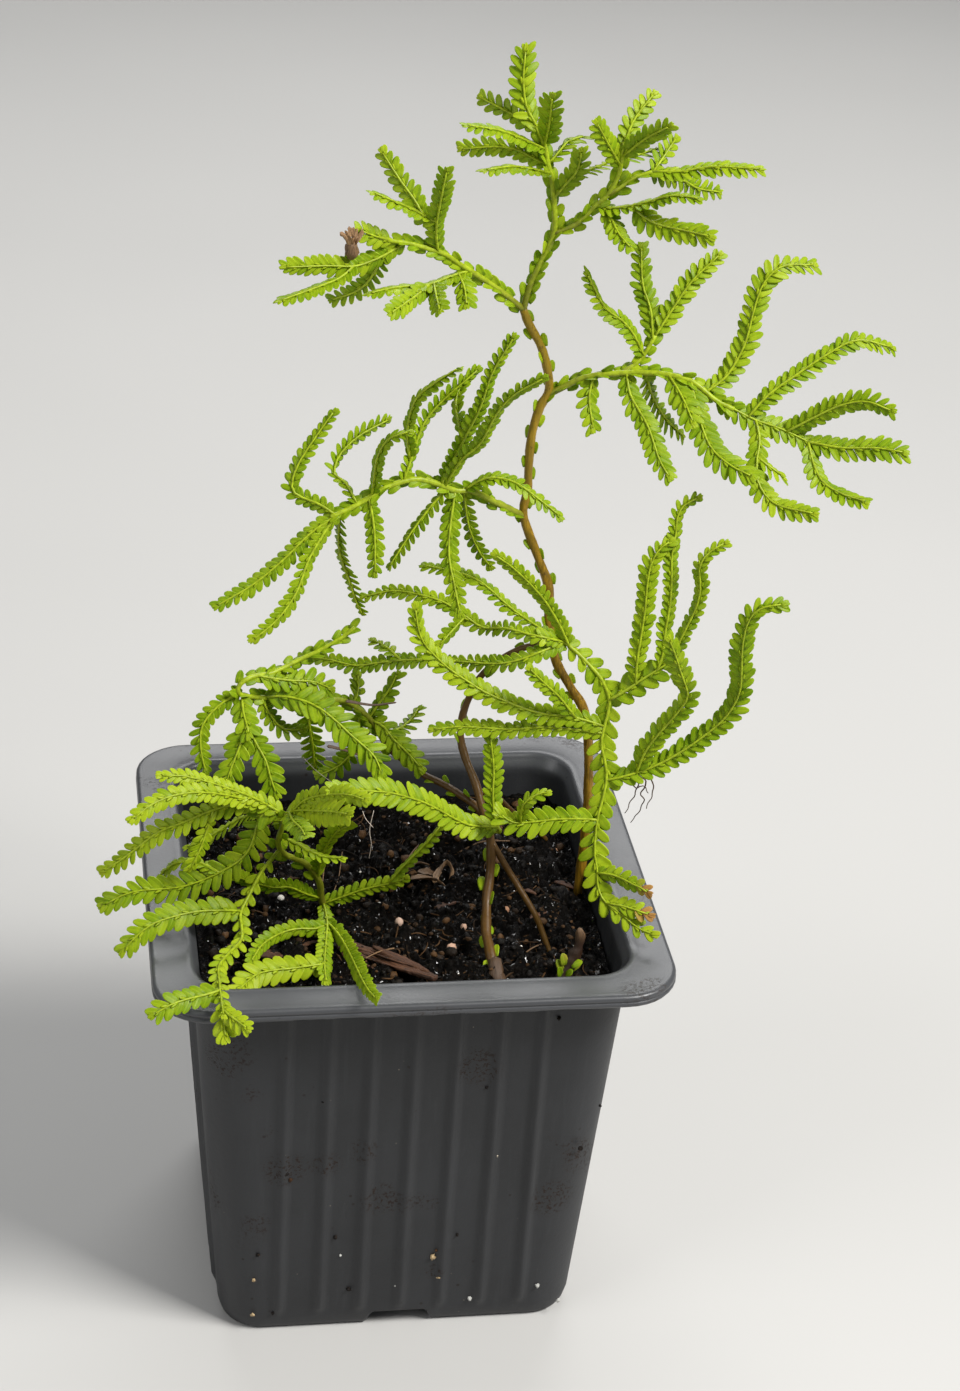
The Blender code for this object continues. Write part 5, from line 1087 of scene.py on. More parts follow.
def square_rows(rows, flat_steps=97, between=4, corner_steps=9):
    """Rows of points round a square with round corners. A row is (width, corner radius, height).
    A side's straight part runs evenly to FLAT_REACH each way, then to where its corner starts, and a
    corner is a quarter circle. A side narrower than that is squeezed to fit. Gives x, y, z, the place
    across the side, ON_CORNER at a corner, and the two parts of the outward direction, each as
    (rows, points)."""
    rows = np.asarray(rows, dtype=float)
    half, corner, height = rows[:, :1] / 2, rows[:, 1:2], rows[:, 2:3]
    straight = half - corner
    reach = np.minimum(FLAT_REACH, straight)
    middle = np.linspace(-1.0, 1.0, flat_steps)[None] * reach
    extra = np.linspace(0.0, 1.0, between + 2)[None, 1:] * (straight - reach)
    across = np.concatenate([-(reach + extra[:, ::-1]), middle, reach + extra], axis=1)
    out = np.broadcast_to(half, across.shape)
    turn = np.radians(90.0) * np.arange(1, corner_steps)[None] / corner_steps
    across = np.concatenate([across, straight + corner * np.sin(turn)], axis=1)
    out = np.concatenate([out, straight + corner * np.cos(turn)], axis=1)
    lean = np.concatenate([np.zeros((1, out.shape[1] - turn.shape[1])), turn], axis=1)
    xs, ys, ux, uy = [], [], [], []
    for quarter in range(4):
        c, s = round(math.cos(math.pi / 2 * quarter)), round(math.sin(math.pi / 2 * quarter))
        xs.append(c * across + s * out)
        ys.append(s * across - c * out)
        ux.append(c * np.sin(lean) + s * np.cos(lean))
        uy.append(s * np.sin(lean) - c * np.cos(lean))
    sides = np.concatenate([np.where(lean > 0, ON_CORNER, across)] * 4, axis=1)
    shape = sides.shape
    x, y, ux, uy = (np.concatenate(part, axis=1) for part in (xs, ys, ux, uy))
    return (x, y, np.broadcast_to(height, shape).copy(), sides, np.broadcast_to(ux, shape),
            np.broadcast_to(uy, shape))


def wall_width(height):
    """The pot's outer width at a height: it widens evenly from the foot to the top."""
    return WALL_FOOT + (WALL_TOP - WALL_FOOT) * height / POT_HEIGHT


def ease(value, low, high):
    """0 below low, 1 above high, and a smooth step between."""
    t = np.clip((value - low) / (high - low), 0.0, 1.0)
    return t * t * (3 - 2 * t)


def channel_height(x, y):
    """Height of the channels and drain slots in the pot's underside at (x, y): each of four channels
    runs in from the middle of a wall's foot, with round shoulders, and ends in a deeper slot."""
    end = WALL_FOOT / 2 - NOTCH_DEEP
    high = np.zeros_like(x)
    for across, out in ((x, -y), (-y, -x), (-x, y), (y, x)):
        edge = 1.0 - ease(np.abs(across), NOTCH_NARROW / 2 - 0.2, NOTCH_WIDE / 2 - 0.2)
        high = np.maximum(high, NOTCH_HIGH * edge * ease(out, end, end + 0.5))
        slot = (1.0 - ease(np.abs(across), DRAIN_WIDE / 2 - 0.3, DRAIN_WIDE / 2 + 0.1))
        slot = slot * ease(out, end + 0.4, end + 0.9)
        slot = slot * (1.0 - ease(out, end + 4.6, end + 5.2))
        high = np.maximum(high, DRAIN_HIGH * slot)
    return high


# The rolled rim, as rows of width, corner radius and height: out under it, up its double edge, in
# over the top and down the inside
RIM_ROWS = (
    (76.0, 8.0, 77.2), (80.0, 8.6, 77.35), (87.2, 8.9, 77.5), (88.6, 9.3, 77.6), (89.5, 9.75, 77.85),
    (90.0, 10.0, 78.2), (90.0, 10.0, 78.5), (89.72, 9.86, 78.66), (89.5, 9.75, 78.78),
    (89.66, 9.83, 78.92), (89.9, 9.95, 79.1), (89.9, 9.95, 79.35), (89.6, 9.8, 79.68),
    (89.0, 9.5, 79.9), (88.2, 9.1, 79.98), (87.0, 8.6, 79.9), (84.0, 8.3, 79.82), (79.4, 8.0, 79.82),
    (78.3, 7.9, 79.93), (77.3, 7.8, 80.0), (76.4, 7.6, 79.96), (75.6, 7.3, 79.75), (75.0, 7.1, 79.3),
    (74.6, 6.95, 78.7),
)


def build_pot():
    """The pot as one closed skin: rows of rounded squares run from the middle of the underside out to
    the foot, up the wall, round the rim, down the inside and back to the middle. A rib lifts the wall
    outward by its height times half of one plus the cosine of a half turn's share, which is the
    distance from the rib's middle against half its width."""
    inner = 2 * WALL_THICK
    bottom = [(width, min(WALL_CORNER - 2.0, width * 0.30), 0.0)
              for width in np.linspace(2.0, 60.6, 56)]
    foot = [(61.7, 6.0, 0.0), (62.7, 6.5, 0.12), (63.6, 7.0, 0.5), (64.3, 7.4, 1.05), (64.8, 7.7, 1.8),
            (wall_width(3.0), WALL_CORNER, 3.0)]
    heights = (3.5, 4.2, 5.0, 6.0, *np.linspace(9, 72, 18), 74, 75, 76, 76.8)
    wall = [(wall_width(height), WALL_CORNER, height) for height in heights]
    rim = [*RIM_ROWS, (wall_width(78.0) - inner, 6.8, 78.0)]
    inside = [(wall_width(height) - inner, 6.8, height)
              for height in (76.0, 74.0, 72.0, 70.0, 40.0, 6.0)]
    floor = [(width, corner, FLOOR_TOP) for width, corner in
             ((wall_width(FLOOR_TOP) - inner - 2.0, 6.0), (40.0, 6.0), (10.0, 3.0), (2.0, 0.6))]
    rows = bottom + foot + wall + rim + inside + floor
    x, y, z, across, ux, uy = square_rows(rows)
    outer = slice(len(bottom) + len(foot), len(bottom) + len(foot) + len(wall))
    proud = bpy.context.scene.spikemoss_sizes.rib_proud / MM
    lift = np.zeros_like(z)
    for index in range(RIB_COUNT):
        off = np.abs(across - (index - (RIB_COUNT - 1) / 2) * RIB_PITCH) / (0.5 * RIB_WIDE)
        lift += 0.5 * (1 + np.cos(np.pi * np.clip(off, 0.0, 1.0)))
    fade = ease(z, 3.2, 6.5) * (1 - ease(z, 75.6, 76.8))
    flat = np.zeros_like(z)
    flat[outer] = 1.0
    lift = proud * lift * fade * flat
    # The wall bows out a little, as thin plastic does under wet soil
    bow = 0.25 * np.sin(np.pi * np.clip(z / POT_HEIGHT, 0, 1))
    bow = bow * np.cos(np.clip(across / 34, -1, 1) * np.pi / 2) * flat
    x, y = x + ux * (lift + bow), y + uy * (lift + bow)
    below = np.arange(len(rows)) < outer.start + 2
    z = np.where(below[:, None], np.maximum(z, channel_height(x, y)), z)
    # Trimmed flash along the lower edge of the rim
    edge = slice(outer.stop + 3, outer.stop + 6)
    around = np.arange(z.shape[1])
    ragged = (0.05 * np.sin(around * 0.37) + 0.05 * np.sin(around * 0.151 + 1.0)
              + 0.03 * np.sin(around * 0.93))
    z[edge] -= 0.06 + ragged[None]
    skin = Skin()
    verts = np.stack([x, y, z], axis=-1)
    middle = np.array([[0.0, 0.0, 0.0], [0.0, 0.0, FLOOR_TOP]])
    fours, threes = grid_faces(*z.shape)
    skin.add(np.vstack([verts.reshape(-1, 3), middle]), fours, threes)
    skin.piece("nursery_pot", "matte_plastic", "pot", "pot")


def soil_lumps(x, y):
    """Height of the soil: gentle lumps from three crossed waves, sunk to nothing at the wall."""
    lumps = (np.sin(0.31 * x + 0.9) * np.sin(0.27 * y - 0.4) + 0.6 * np.sin(0.63 * x - 0.38 * y + 1.7)
             + 0.4 * np.sin(0.52 * y + 0.81 * x))
    inner = wall_width(SOIL_LEVEL) - 2 * WALL_THICK
    edge = np.clip((inner / 2 - np.maximum(np.abs(x), np.abs(y))) / 6.0, 0.0, 1.0)
    return SOIL_LEVEL + SOIL_LUMPS * 0.55 * lumps * edge


def patchwork(x, y, cell, seed):
    """Smooth random heights: values fixed at the corners of square cells and eased between."""
    table = np.random.default_rng(seed).random((256, 256))
    i, j = np.floor(x / cell).astype(int), np.floor(y / cell).astype(int)
    s, t = x / cell - i, y / cell - j
    s, t = s * s * (3 - 2 * s), t * t * (3 - 2 * t)
    low = table[i & 255, j & 255] * (1 - s) + table[(i + 1) & 255, j & 255] * s
    high = table[i & 255, (j + 1) & 255] * (1 - s) + table[(i + 1) & 255, (j + 1) & 255] * s
    return low * (1 - t) + high * t


def soil_top(x, y):
    """The lumps with crumbs on them: four sizes of random heights, sharpened so crumbs stand apart."""
    height = bpy.context.scene.spikemoss_sizes.crumb_height / MM
    crumbs = (0.9 * (patchwork(x, y, 4.6, 1) - 0.5) + 1.0 * (patchwork(x + 0.4 * y, y, 2.1, 2) - 0.5)
              + 0.75 * np.abs(patchwork(x, y - 0.3 * x, 1.05, 3) - 0.5) * 2
              + 0.4 * (patchwork(x, y, 0.55, 4) - 0.5))
    edge = np.clip((35.6 - np.maximum(np.abs(x), np.abs(y))) / 2.0, 0.0, 1.0)
    return soil_lumps(x, y) + height * crumbs * (0.35 + 0.65 * edge) - 0.25


def build_soil():
    """The soil as one closed skin: rounded squares from the middle of its foot, up its sides, and in
    over the top, whose height is soil_top of x and y."""
    side = [(width, min(4.0, width * 0.25), SOIL_FOOT) for width in (2.0, 20.0, 40.0, 55.0)]
    side += [(wall_width(height) - 2 * WALL_THICK - 0.6, 6.4, height)
             for height in (7.4, 30.0, 50.0, 64.0, 69.0, 70.6, 71.3)]
    top = [(width, min(6.4, max(0.3, width * 0.18)), SOIL_LEVEL)
           for width in np.linspace(71.9, 1.2, 96)]
    x, y, z, *_ = square_rows(side + top, flat_steps=93, between=20, corner_steps=12)
    z[len(side):] = soil_top(x[len(side):], y[len(side):])
    skin = Skin()
    middle = np.array([[0.0, 0.0, SOIL_FOOT], [0.0, 0.0, soil_top(np.zeros(1), np.zeros(1))[0]]])
    fours, threes = grid_faces(*z.shape)
    skin.add(np.vstack([np.stack([x, y, z], axis=-1).reshape(-1, 3), middle]), fours, threes)
    skin.piece("soil_bed", "damp_soil", "soil", "soil")


# Things that lie on the soil
def on_soil(x, z):
    """Where the sight line through (x, 0, z) meets the soil."""
    y = np.linspace(-40.0, 40.0, 1601)
    reach = (y - EYE[1]) / -EYE[1]
    line = EYE + (np.array([x, 0.0, z]) - EYE) * reach[:, None]
    gap = line[:, 2] - soil_lumps(line[:, 0], line[:, 1])
    return line[int(np.abs(gap).argmin())]


def lumps(skin, noise, places, sizes, tone, squash=0.75, rows=4, around=7, rough=0.16):
    """Rounded stones and crumbs at many places: a ball of rows and angles, each corner swelled by
    its own random share, squashed in height and turned at random."""
    count = len(places)
    a = np.pi * np.arange(1, rows + 1) / (rows + 1)
    q = 2 * np.pi * np.arange(around) / around
    ball = np.stack([np.sin(a)[:, None] * np.cos(q), np.sin(a)[:, None] * np.sin(q),
                     -np.cos(a)[:, None] * np.ones(around)], axis=-1).reshape(-1, 3)
    ball = np.vstack([ball, [[0, 0, -1], [0, 0, 1]]])
    swell = 1.0 + rough * noise.normal(size=(count, len(ball), 1))
    shape = ball[None] * swell * noise.uniform(0.7, 1.15, size=(count, 1, 3)) * (1.0, 1.0, squash)
    turn = noise.uniform(0, 2 * np.pi, size=(count, 1))
    c, s = np.cos(turn), np.sin(turn)
    x = c * shape[..., 0] - s * shape[..., 1]
    y = s * shape[..., 0] + c * shape[..., 1]
    verts = places[:, None] + sizes[:, None, None] * np.stack([x, y, shape[..., 2]], axis=-1)
    skin.add_many(verts, *grid_faces(rows, around), tone=np.repeat(tone, len(ball)))


# How far from the middle loose crumbs and fibres lie, each way
LITTER_REACH = 34.2


def build_litter():
    """Crumbs and fibres all over the soil."""
    sizes = bpy.context.scene.spikemoss_sizes
    noise = np.random.default_rng(11)
    skin = Skin()
    half = LITTER_REACH
    x, y = noise.uniform(-half, half, size=(2, sizes.crumb_count))
    size = 0.28 + 0.85 * noise.random(sizes.crumb_count) ** 3.0
    places = np.column_stack([x, y, soil_top(x, y) + 0.25 * size])
    lumps(skin, noise, places, size, noise.random(sizes.crumb_count) ** 1.6)
    for _ in range(sizes.fibre_count):
        start = noise.uniform(-half + 2, half - 2, size=2)
        way = noise.uniform(0, 2 * np.pi)
        length = 1.6 + 5.0 * noise.random() ** 2
        t = np.linspace(0.0, 1.0, 6)
        bend = 0.5 * noise.normal() * np.sin(np.pi * t) * length * 0.25
        px = np.clip(start[0] + t * length * np.cos(way) - bend * np.sin(way), -half, half)
        py = np.clip(start[1] + t * length * np.sin(way) + bend * np.cos(way), -half, half)
        pz = soil_lumps(px, py) + 0.35 + 0.25 * noise.random()
        pz = pz + 0.35 * noise.random() * np.sin(np.pi * t)
        wide = 0.07 + 0.14 * noise.random() ** 2
        tube(skin, np.column_stack([px, py, pz]), wide * np.sin(np.pi * (0.12 + 0.76 * t)), around=4,
             tone=min(1.0, 0.35 + 0.65 * noise.random()))
    skin.piece("soil_litter", "crumb", None, "soil")


# Crumbs stuck to the front wall: place across, height, size and tone
WALL_CRUMBS = (
    (-26.2, 19.2, 0.35, 0.1), (-9.5, 9.6, 0.5, 0.1), (-12.4, 22.6, 0.4, 0.2), (-0.2, 19.8, 0.4, 0.1),
    (-23.2, 4.6, 0.4, 0.2), (30.9, 41.1, 0.5, 0.2), (-15.5, 54.6, 0.35, 0.1), (13.0, 56.1, 0.35, 0.2),
    (24.7, 71.0, 0.4, 0.1), (-14.6, 39.5, 0.35, 0.3), (-8.0, 44.3, 0.4, 0.1), (-21.6, 38.4, 0.55, 0.2),
    (-20.8, 36.8, 0.4, 0.6), (6.5, 51.8, 0.3, 0.2), (33.6, 50.8, 0.35, 0.1), (9.8, 21.7, 0.3, 0.1),
    (5.6, 16.6, 0.62, 1.6), (6.2, 18.2, 0.35, 0.7), (7.1, 11.6, 0.6, 1.5), (7.6, 12.9, 0.35, 0.6),
    (13.0, 5.7, 0.4, 1.8), (25.5, 8.0, 0.4, 1.8), (29.7, 3.9, 0.4, 1.8), (-26.8, 13.1, 0.3, 1.3),
    (-26.9, 4.5, 0.35, 1.6), (-11.3, 18.1, 0.3, 1.8), (-0.8, 9.9, 0.25, 1.8), (15.9, 40.2, 0.25, 1.7),
)


# White grit and seeds: place across and height in the picture, size and tone
GRIT = (
    (-20.3, 72.8, 0.85, 0.95), (-2.3, 70.2, 1.15, 1.0), (3.0, 51.5, 0.6, 0.9), (6.8, 52.4, 0.35, 0.9),
    (8.6, 53.6, 0.32, 0.85), (10.4, 54.6, 0.3, 0.9), (13.0, 54.8, 0.35, 0.8), (1.5, 66.5, 1.25, 0.45),
    (10.0, 65.0, 0.55, 0.35), (13.5, 65.0, 0.95, 0.40), (11.5, 60.5, 1.0, 0.38),
    (21.0, 68.5, 1.05, 0.22), (29.5, 81.0, 0.8, 0.15), (-14.0, 63.0, 0.4, 0.8), (24.5, 60.5, 0.3, 0.7),
    (5.0, 76.0, 0.35, 0.6), (-6.0, 78.0, 0.35, 0.75), (27.0, 77.0, 0.35, 0.5), (15.5, 71.0, 0.35, 0.6),
    (-26.0, 84.0, 0.45, 0.7),
)


def build_wall_crumbs():
    """Dark and pale crumbs stuck to the front wall, each half sunk into it."""
    noise = np.random.default_rng(17)
    skin = Skin()
    x, z, size, tone = np.array(WALL_CRUMBS).T
    lumps(skin, noise, np.column_stack([x, -wall_width(z) / 2 - 0.25, z]), size, tone, 1.0, 5, 9, 0.22)
    skin.piece("wall_crumbs", "wall_crumb", None, "soil")


def build_grit():
    """White grit and pale seeds, each where the picture shows it."""
    noise = np.random.default_rng(5)
    skin = Skin()
    across, high, size, tone = np.array(GRIT).T
    places = np.array([on_soil(*point) for point in zip(across, high)])
    places[:, 2] += 0.35 * size
    lumps(skin, noise, places, 0.85 * size, tone, 0.9, 6, 10, 0.05)
    skin.piece("pale_grit", "pale_grit", None, "soil")


def strip(skin, path, wide, thick, curl=0.0, twist=0.0, tone=0.5, around=12, noise=None, rough=0.0):
    """A flattened profile carried along a path: an oval wide across and thick through, bent up at its
    edges by curl, turned by twist along the way and pinched to a point at both ends."""
    tangents = frames(path)[0]
    up = unit_rows(np.array([0.0, 0.0, 1.0]) - tangents * tangents[:, 2:3])
    side = np.cross(tangents, up)
    share = np.linspace(0.0, 1.0, len(path))
    angle = (twist * share)[:, None]
    side, up = np.cos(angle) * side + np.sin(angle) * up, np.cos(angle) * up - np.sin(angle) * side
    wide = np.broadcast_to(np.asarray(wide, dtype=float), share.shape)[:, None]
    thick = np.broadcast_to(np.asarray(thick, dtype=float), share.shape)[:, None]
    q = 2 * np.pi * np.arange(around)[None] / around
    c, s = np.cos(q), np.sin(q)
    swell = 1.0 + (rough * noise.normal(size=(len(path), around)) if noise is not None else 0.0)
    out = 0.5 * wide * c * swell
    rise = 0.5 * thick * s * swell + curl * wide * c ** 2
    verts = (path[:, None] + out[..., None] * side[:, None] + rise[..., None] * up[:, None])[:, ::-1]
    ends = np.array([path[0] - 0.3 * tangents[0], path[-1] + 0.3 * tangents[-1]])
    fours, threes = grid_faces(len(path), around)
    skin.add(np.vstack([verts.reshape(-1, 3), ends]), fours, threes,
             along=by_ring(share, around, (0.0, 1.0)),
             across=np.concatenate([np.tile(np.cos(q[0])[::-1], len(path)), [0, 0]]), tone=tone)


def ground(points, lift=0.5):
    """A path over the soil through points read on the picture's plane, lifted off it."""
    path = np.array([on_soil(*point[:2]) for point in points])
    path[:, 2] += np.array([point[2] if len(point) > 2 else lift for point in points])
    return smooth(path, 0.6)


def build_bark():
    """The long split chip, the flat chip and smaller slivers: ovals carried along lines on the soil."""
    noise = np.random.default_rng(23)
    skin = Skin()
    path = ground(((-9.6, 61.4), (-6.0, 60.4), (-2.0, 58.6), (2.0, 56.4), (5.5, 54.7), (8.8, 53.2)),
                  0.9)
    strip(skin, path, bulge(path, 3.2, 0.10, 0.82, 0.6), 1.3, 0.05, 0.25, 0.35, 14, noise, 0.07)
    path = ground(((-3.0, 59.9, 1.7), (0.5, 57.7, 1.8), (4.0, 56.1, 1.5), (7.4, 54.4, 1.2)))
    strip(skin, path, bulge(path, 1.5, 0.08, 0.84, 0.7), 0.8, 0.1, -0.5, 0.75, 12, noise, 0.08)
    # Strands split off the long chip, side by side along it
    for _ in range(11):
        off, first = noise.uniform(-1.25, 1.25), noise.uniform(0.0, 0.35)
        share = np.linspace(first, first + noise.uniform(0.4, 0.62), 9)
        lane = np.column_stack([-9.6 + 18.4 * share,
                                61.4 - 8.2 * share + off + 0.5 * noise.normal() * (share - 0.5),
                                1.35 - 0.3 * off * off + 0.35 * noise.random() + 0.4 * share])
        strip(skin, ground(lane), 0.34 + 0.5 * noise.random(), 0.3, 0.1, 0.8,
              0.3 + 0.7 * noise.random(), 8, noise, 0.08)
    path = ground(((-25.8, 60.8), (-23.0, 60.2), (-20.4, 59.2)), 0.8)
    strip(skin, path, bulge(path, 3.4, 0.14, 0.72, 0.5), 0.9, 0.06, 0.2, 0.2, 12, noise, 0.06)
    slivers = (((-7.0, 57.6), (-3.0, 56.4)), ((-16.5, 61.8), (-12.0, 62.6)),
               ((26.0, 66.0), (29.0, 67.5)), ((-1.0, 74.5), (2.0, 76.5)), ((22.5, 73.0), (26.5, 71.5)),
               ((8.0, 69.0), (12.0, 70.2)), ((-18.0, 66.0), (-14.5, 67.2)),
               ((-29.0, 70.0), (-25.0, 71.5)), ((30.0, 74.0), (33.5, 72.5)))
    for number, (first, last) in enumerate(slivers):
        middle = (first[0] + last[0]) / 2, (first[1] + last[1]) / 2 + 0.3
        path = ground((first, middle, last), 0.6)
        strip(skin, path, bulge(path, 0.8 + 0.5 * (number % 3), 0.12, 0.76), 0.5, 0.08, 0.3,
              0.15 + 0.08 * number, 10, noise, 0.08)
    skin.piece("bark_chips", "split_bark", None, "soil")


def build_dried():
    """Dried bits, round or oval profiles carried along lines: the broken stub, curled scales, the old
    sheath, straws, dead strips, roots outside the rim and a dried bud."""
    noise = np.random.default_rng(31)
    skin = Skin()
    stub = smooth(on_soil(*STUB_AT) + np.array(((0.0, 0.0, 0.0), (0.9, 0.4, 2.4), (2.0, 0.8, 5.0),
                                                (2.6, 1.0, 7.6), (2.4, 1.2, 9.4))), 0.5)
    share = np.linspace(0, 1, len(stub))
    knots = np.interp(share, (0, 0.2, 0.45, 0.7, 0.86, 1), (1.45, 0.95, 1.15, 0.75, 0.9, 0.45))
    tube(skin, stub, knots, 14, 0.7, 0.13, noise,
         tone=by_ring(0.4 * ease(share, 0.7, 1.0), 14, (0.0, 0.5)))
    scales = ((2.2, 0.45, 0.9, ((3.4, 75.8, 0.5), (5.6, 75.2, 1.0), (7.8, 74.6, 1.1),
                                (9.4, 74.0, 0.6))),
              (1.7, 0.62, 1.6, ((7.6, 74.4, 1.0), (8.6, 76.0, 1.8), (9.6, 77.0, 2.4), (10.6, 76.4, 1.8),
                                (10.4, 74.8, 0.8))),
              (1.5, 0.30, -0.9, ((4.6, 77.2, 0.6), (5.8, 76.4, 1.2), (7.4, 76.2, 1.0))),
              (0.9, 0.25, 0.7, ((2.6, 78.0, 0.5), (4.4, 78.8, 0.9), (6.4, 78.6, 0.6))))
    for wide, tone, twist, points in scales:
        scale = ground(points)
        strip(skin, scale, bulge(scale, wide, 0.12, 0.78, 0.6), 0.3, 0.26, twist, tone, 12, noise, 0.14)
    sheath = smooth(route(((20.4, 52.0, -27.6), (20.2, 54.0, -27.2), (20.0, 56.0, -26.2),
                           (19.7, 58.0, -25.0))), 0.5)
    share = np.linspace(0, 1, len(sheath))
    tube(skin, sheath, np.interp(share, (0, 0.5, 1), (1.8, 1.4, 1.0)), 12, 1.0, 0.08, noise, tone=0.16)
    straws = (((-4.4, 57.2, 2.0), (-1.8, 58.4, 2.2), (0.8, 59.6, 1.6), 0.12, 0.9),
              ((-13.0, 70.0, 1.0), (-12.8, 74.0, 2.2), (-12.4, 78.6, 3.4), 0.10, 0.8),
              ((-11.6, 71.0, 0.8), (-10.0, 75.0, 1.6), (-9.4, 80.0, 2.6), 0.09, 0.7),
              ((24.0, 57.0, 0.7), (26.4, 58.8, 1.2), (28.4, 60.2, 0.8), 0.12, 0.6),
              ((12.0, 81.0, 0.8), (16.0, 82.4, 1.4), (21.0, 82.8, 1.0), 0.16, 0.4),
              ((2.0, 79.0, 0.7), (4.6, 82.4, 1.2), (8.8, 84.4, 0.8), 0.15, 0.5))
    for *points, radius, tone in straws:
        tube(skin, ground(points), radius, 6, tone=tone)
    strips = (((-12.5, 104.5, 5.0), (-9.0, 103.4, 4.0), (-5.0, 101.5, 3.0)),
              ((-9.5, 113.5, 6.6), (-5.0, 112.6, 5.6), (-1.0, 113.0, 5.0)))
    for points in strips:
        strip(skin, smooth(route(points), 0.7), 1.1, 0.25, 0.1, 0.4, 0.3, 10, noise, 0.05)
    roots = (
        ((45.2, 97.6, 3.0), (46.3, 96.0, 2.4), (46.8, 93.5, 1.6), (46.2, 91.0, 1.0), (45.8, 89.8, 0.6)),
        ((43.6, 98.0, 3.4), (44.0, 96.0, 3.0), (43.5, 93.0, 2.6), (42.5, 90.5, 2.2), (42.0, 89.0, 2.2)),
        ((44.0, 96.4, 3.0), (45.4, 95.4, 2.6), (44.6, 93.0, 2.4), (45.2, 91.0, 1.8), (43.2, 86.8, 2.0)),
        ((43.8, 97.0, 3.2), (42.6, 95.6, 3.0), (43.6, 94.2, 2.6), (44.8, 94.6, 2.2), (46.0, 93.0, 2.0)))
    for points in roots:
        path = smooth(route(points), 0.5)
        row = np.arange(len(path))
        path = path + 0.12 * np.column_stack([np.sin(row * 1.3), np.cos(row * 0.9), np.sin(row * 0.7)])
        tube(skin, path, np.linspace(0.16, 0.08, len(path)), 5, tone=0.15)
    bud = smooth(route(((-11.2, 195.2, -4.2), (-11.2, 196.4, -4.4), (-11.0, 198.0, -4.6))), 0.4)
    tube(skin, bud, bulge(bud, 1.15, 0.14, 0.72, 0.8), 9, 0.9, 0.10, noise, tone=0.5)
    for number in range(7):
        lean = (number - 3) * 0.42 + 0.1 * noise.normal()
        petal = smooth(route(((-11.1 + 0.25 * lean, 197.0, -4.9),
                              (-11.0 + 0.9 * lean, 198.7, -5.2 + 0.3 * lean),
                              (-11.0 + 1.5 * lean, 199.4 + noise.random(), -5.0 + 0.6 * lean))), 0.3)
        strip(skin, petal, 0.7, 0.16, 0.2, noise.normal(), 1.0, 8, noise, 0.10)
    skin.piece("dried_bits", "dried_leaf", None, "stem")


def build_hairs():
    """Fine white hairs of new roots under the sprays: thin round profiles along their routes."""
    skin = Skin()
    hairs = (((-17.0, 102.5, 1.0), (-14.5, 99.6, 0.0), (-12.0, 97.4, -1.0), (-10.0, 95.5, -2.0)),
             ((-6.0, 91.0, -6.0), (-5.4, 89.4, -6.5), (-4.0, 87.5, -7.0)),
             ((-4.0, 91.0, -4.0), (-4.6, 87.0, -4.5), (-4.2, 84.0, -5.0), (-4.5, 81.0, -5.0)))
    for points in hairs:
        tube(skin, smooth(route(points), 0.6), 0.06, 5, tone=0.6)
    skin.piece("white_hairs", "pale_grit", None, "stem")


# Old stems
def build_leader():
    """The tall brown leader: a tapered round profile along its route, swelled and thinned a little in
    waves.
    """
    noise = np.random.default_rng(41)
    skin, leaves = Skin(), Skin()
    path = smooth(route(LEADER), STEM_STEP)
    share = np.linspace(0, 1, len(path))
    knots = 1 + 0.06 * np.sin(share * 92) + 0.03 * noise.normal(size=len(path))
    radius = np.interp(share, (0, 1), (0.90, 0.74)) * knots
    tube(skin, path, radius, 10, tone=by_ring(0.35 * (share < 0.34), 10, (0.3, 0.0)))
    clothe_stem(leaves, noise, path, radius, 2.1, 2.5, 0.66, (0.36, 0.985), 15.0, 0.7)
    skin.piece("leader_bark", "old_stem", "leader_stem", "stem")
    leaves.piece("leader_leaves", "scale_leaf", "leader_stem", "foliage")


def build_arch():
    """The arching stem with its two props and side stem: round profiles carried along their routes,
    with scale leaves on them and a tuft of leaves at the stub's foot."""
    noise = np.random.default_rng(43)
    skin, leaves = Skin(), Skin()
    path = smooth(route(ARCH), STEM_STEP)
    share = np.linspace(0, 1, len(path))
    radius = np.interp(share, (0, 0.4, 1), (0.98, 0.78, 0.55)) * (1 + 0.07 * np.sin(share * 74))
    tube(skin, path, radius, 10, tone=by_ring(np.interp(share, (0, 1), (0.75, 0.9)), 10, (0.7, 0.9)))
    for points, first, last in ((PROP_FRONT, 0.6, 0.5), (PROP_REAR, 0.6, 0.5), (SIDE_STEM, 0.72, 0.55)):
        limb = smooth(route(points), STEM_STEP)
        tube(skin, limb, np.linspace(first, last, len(limb)), 8, tone=0.85)
    clothe_stem(leaves, noise, path, radius, 2.5, 2.5, 0.62, (0.045, 0.36), 15.0, 0.8)
    clothe_stem(leaves, noise, path, radius, 2.0, 2.6, 0.60, (0.62, 1.0), 18.0, 0.7)
    tuft = smooth(on_soil(*STUB_AT)
                  + np.array(((-0.2, -0.2, 0.2), (0.2, 0.0, 1.6), (0.9, 0.3, 3.0))), 0.5)
    clothe_stem(leaves, noise, tuft, np.full(len(tuft), 0.9), 2.2, 0.5, 0.42, (0.0, 1.0), 34.0, 0.9,
                0.5)
    side = smooth(route(SIDE_STEM), STEM_STEP)
    clothe_stem(leaves, noise, side, np.full(len(side), 0.6), 1.9, 2.4, 0.5, (0.1, 1.0), 22.0, 0.6)
    skin.piece("arching_bark", "old_stem", "arching_stem", "stem")
    leaves.piece("arching_leaves", "scale_leaf", "arching_stem", "foliage")


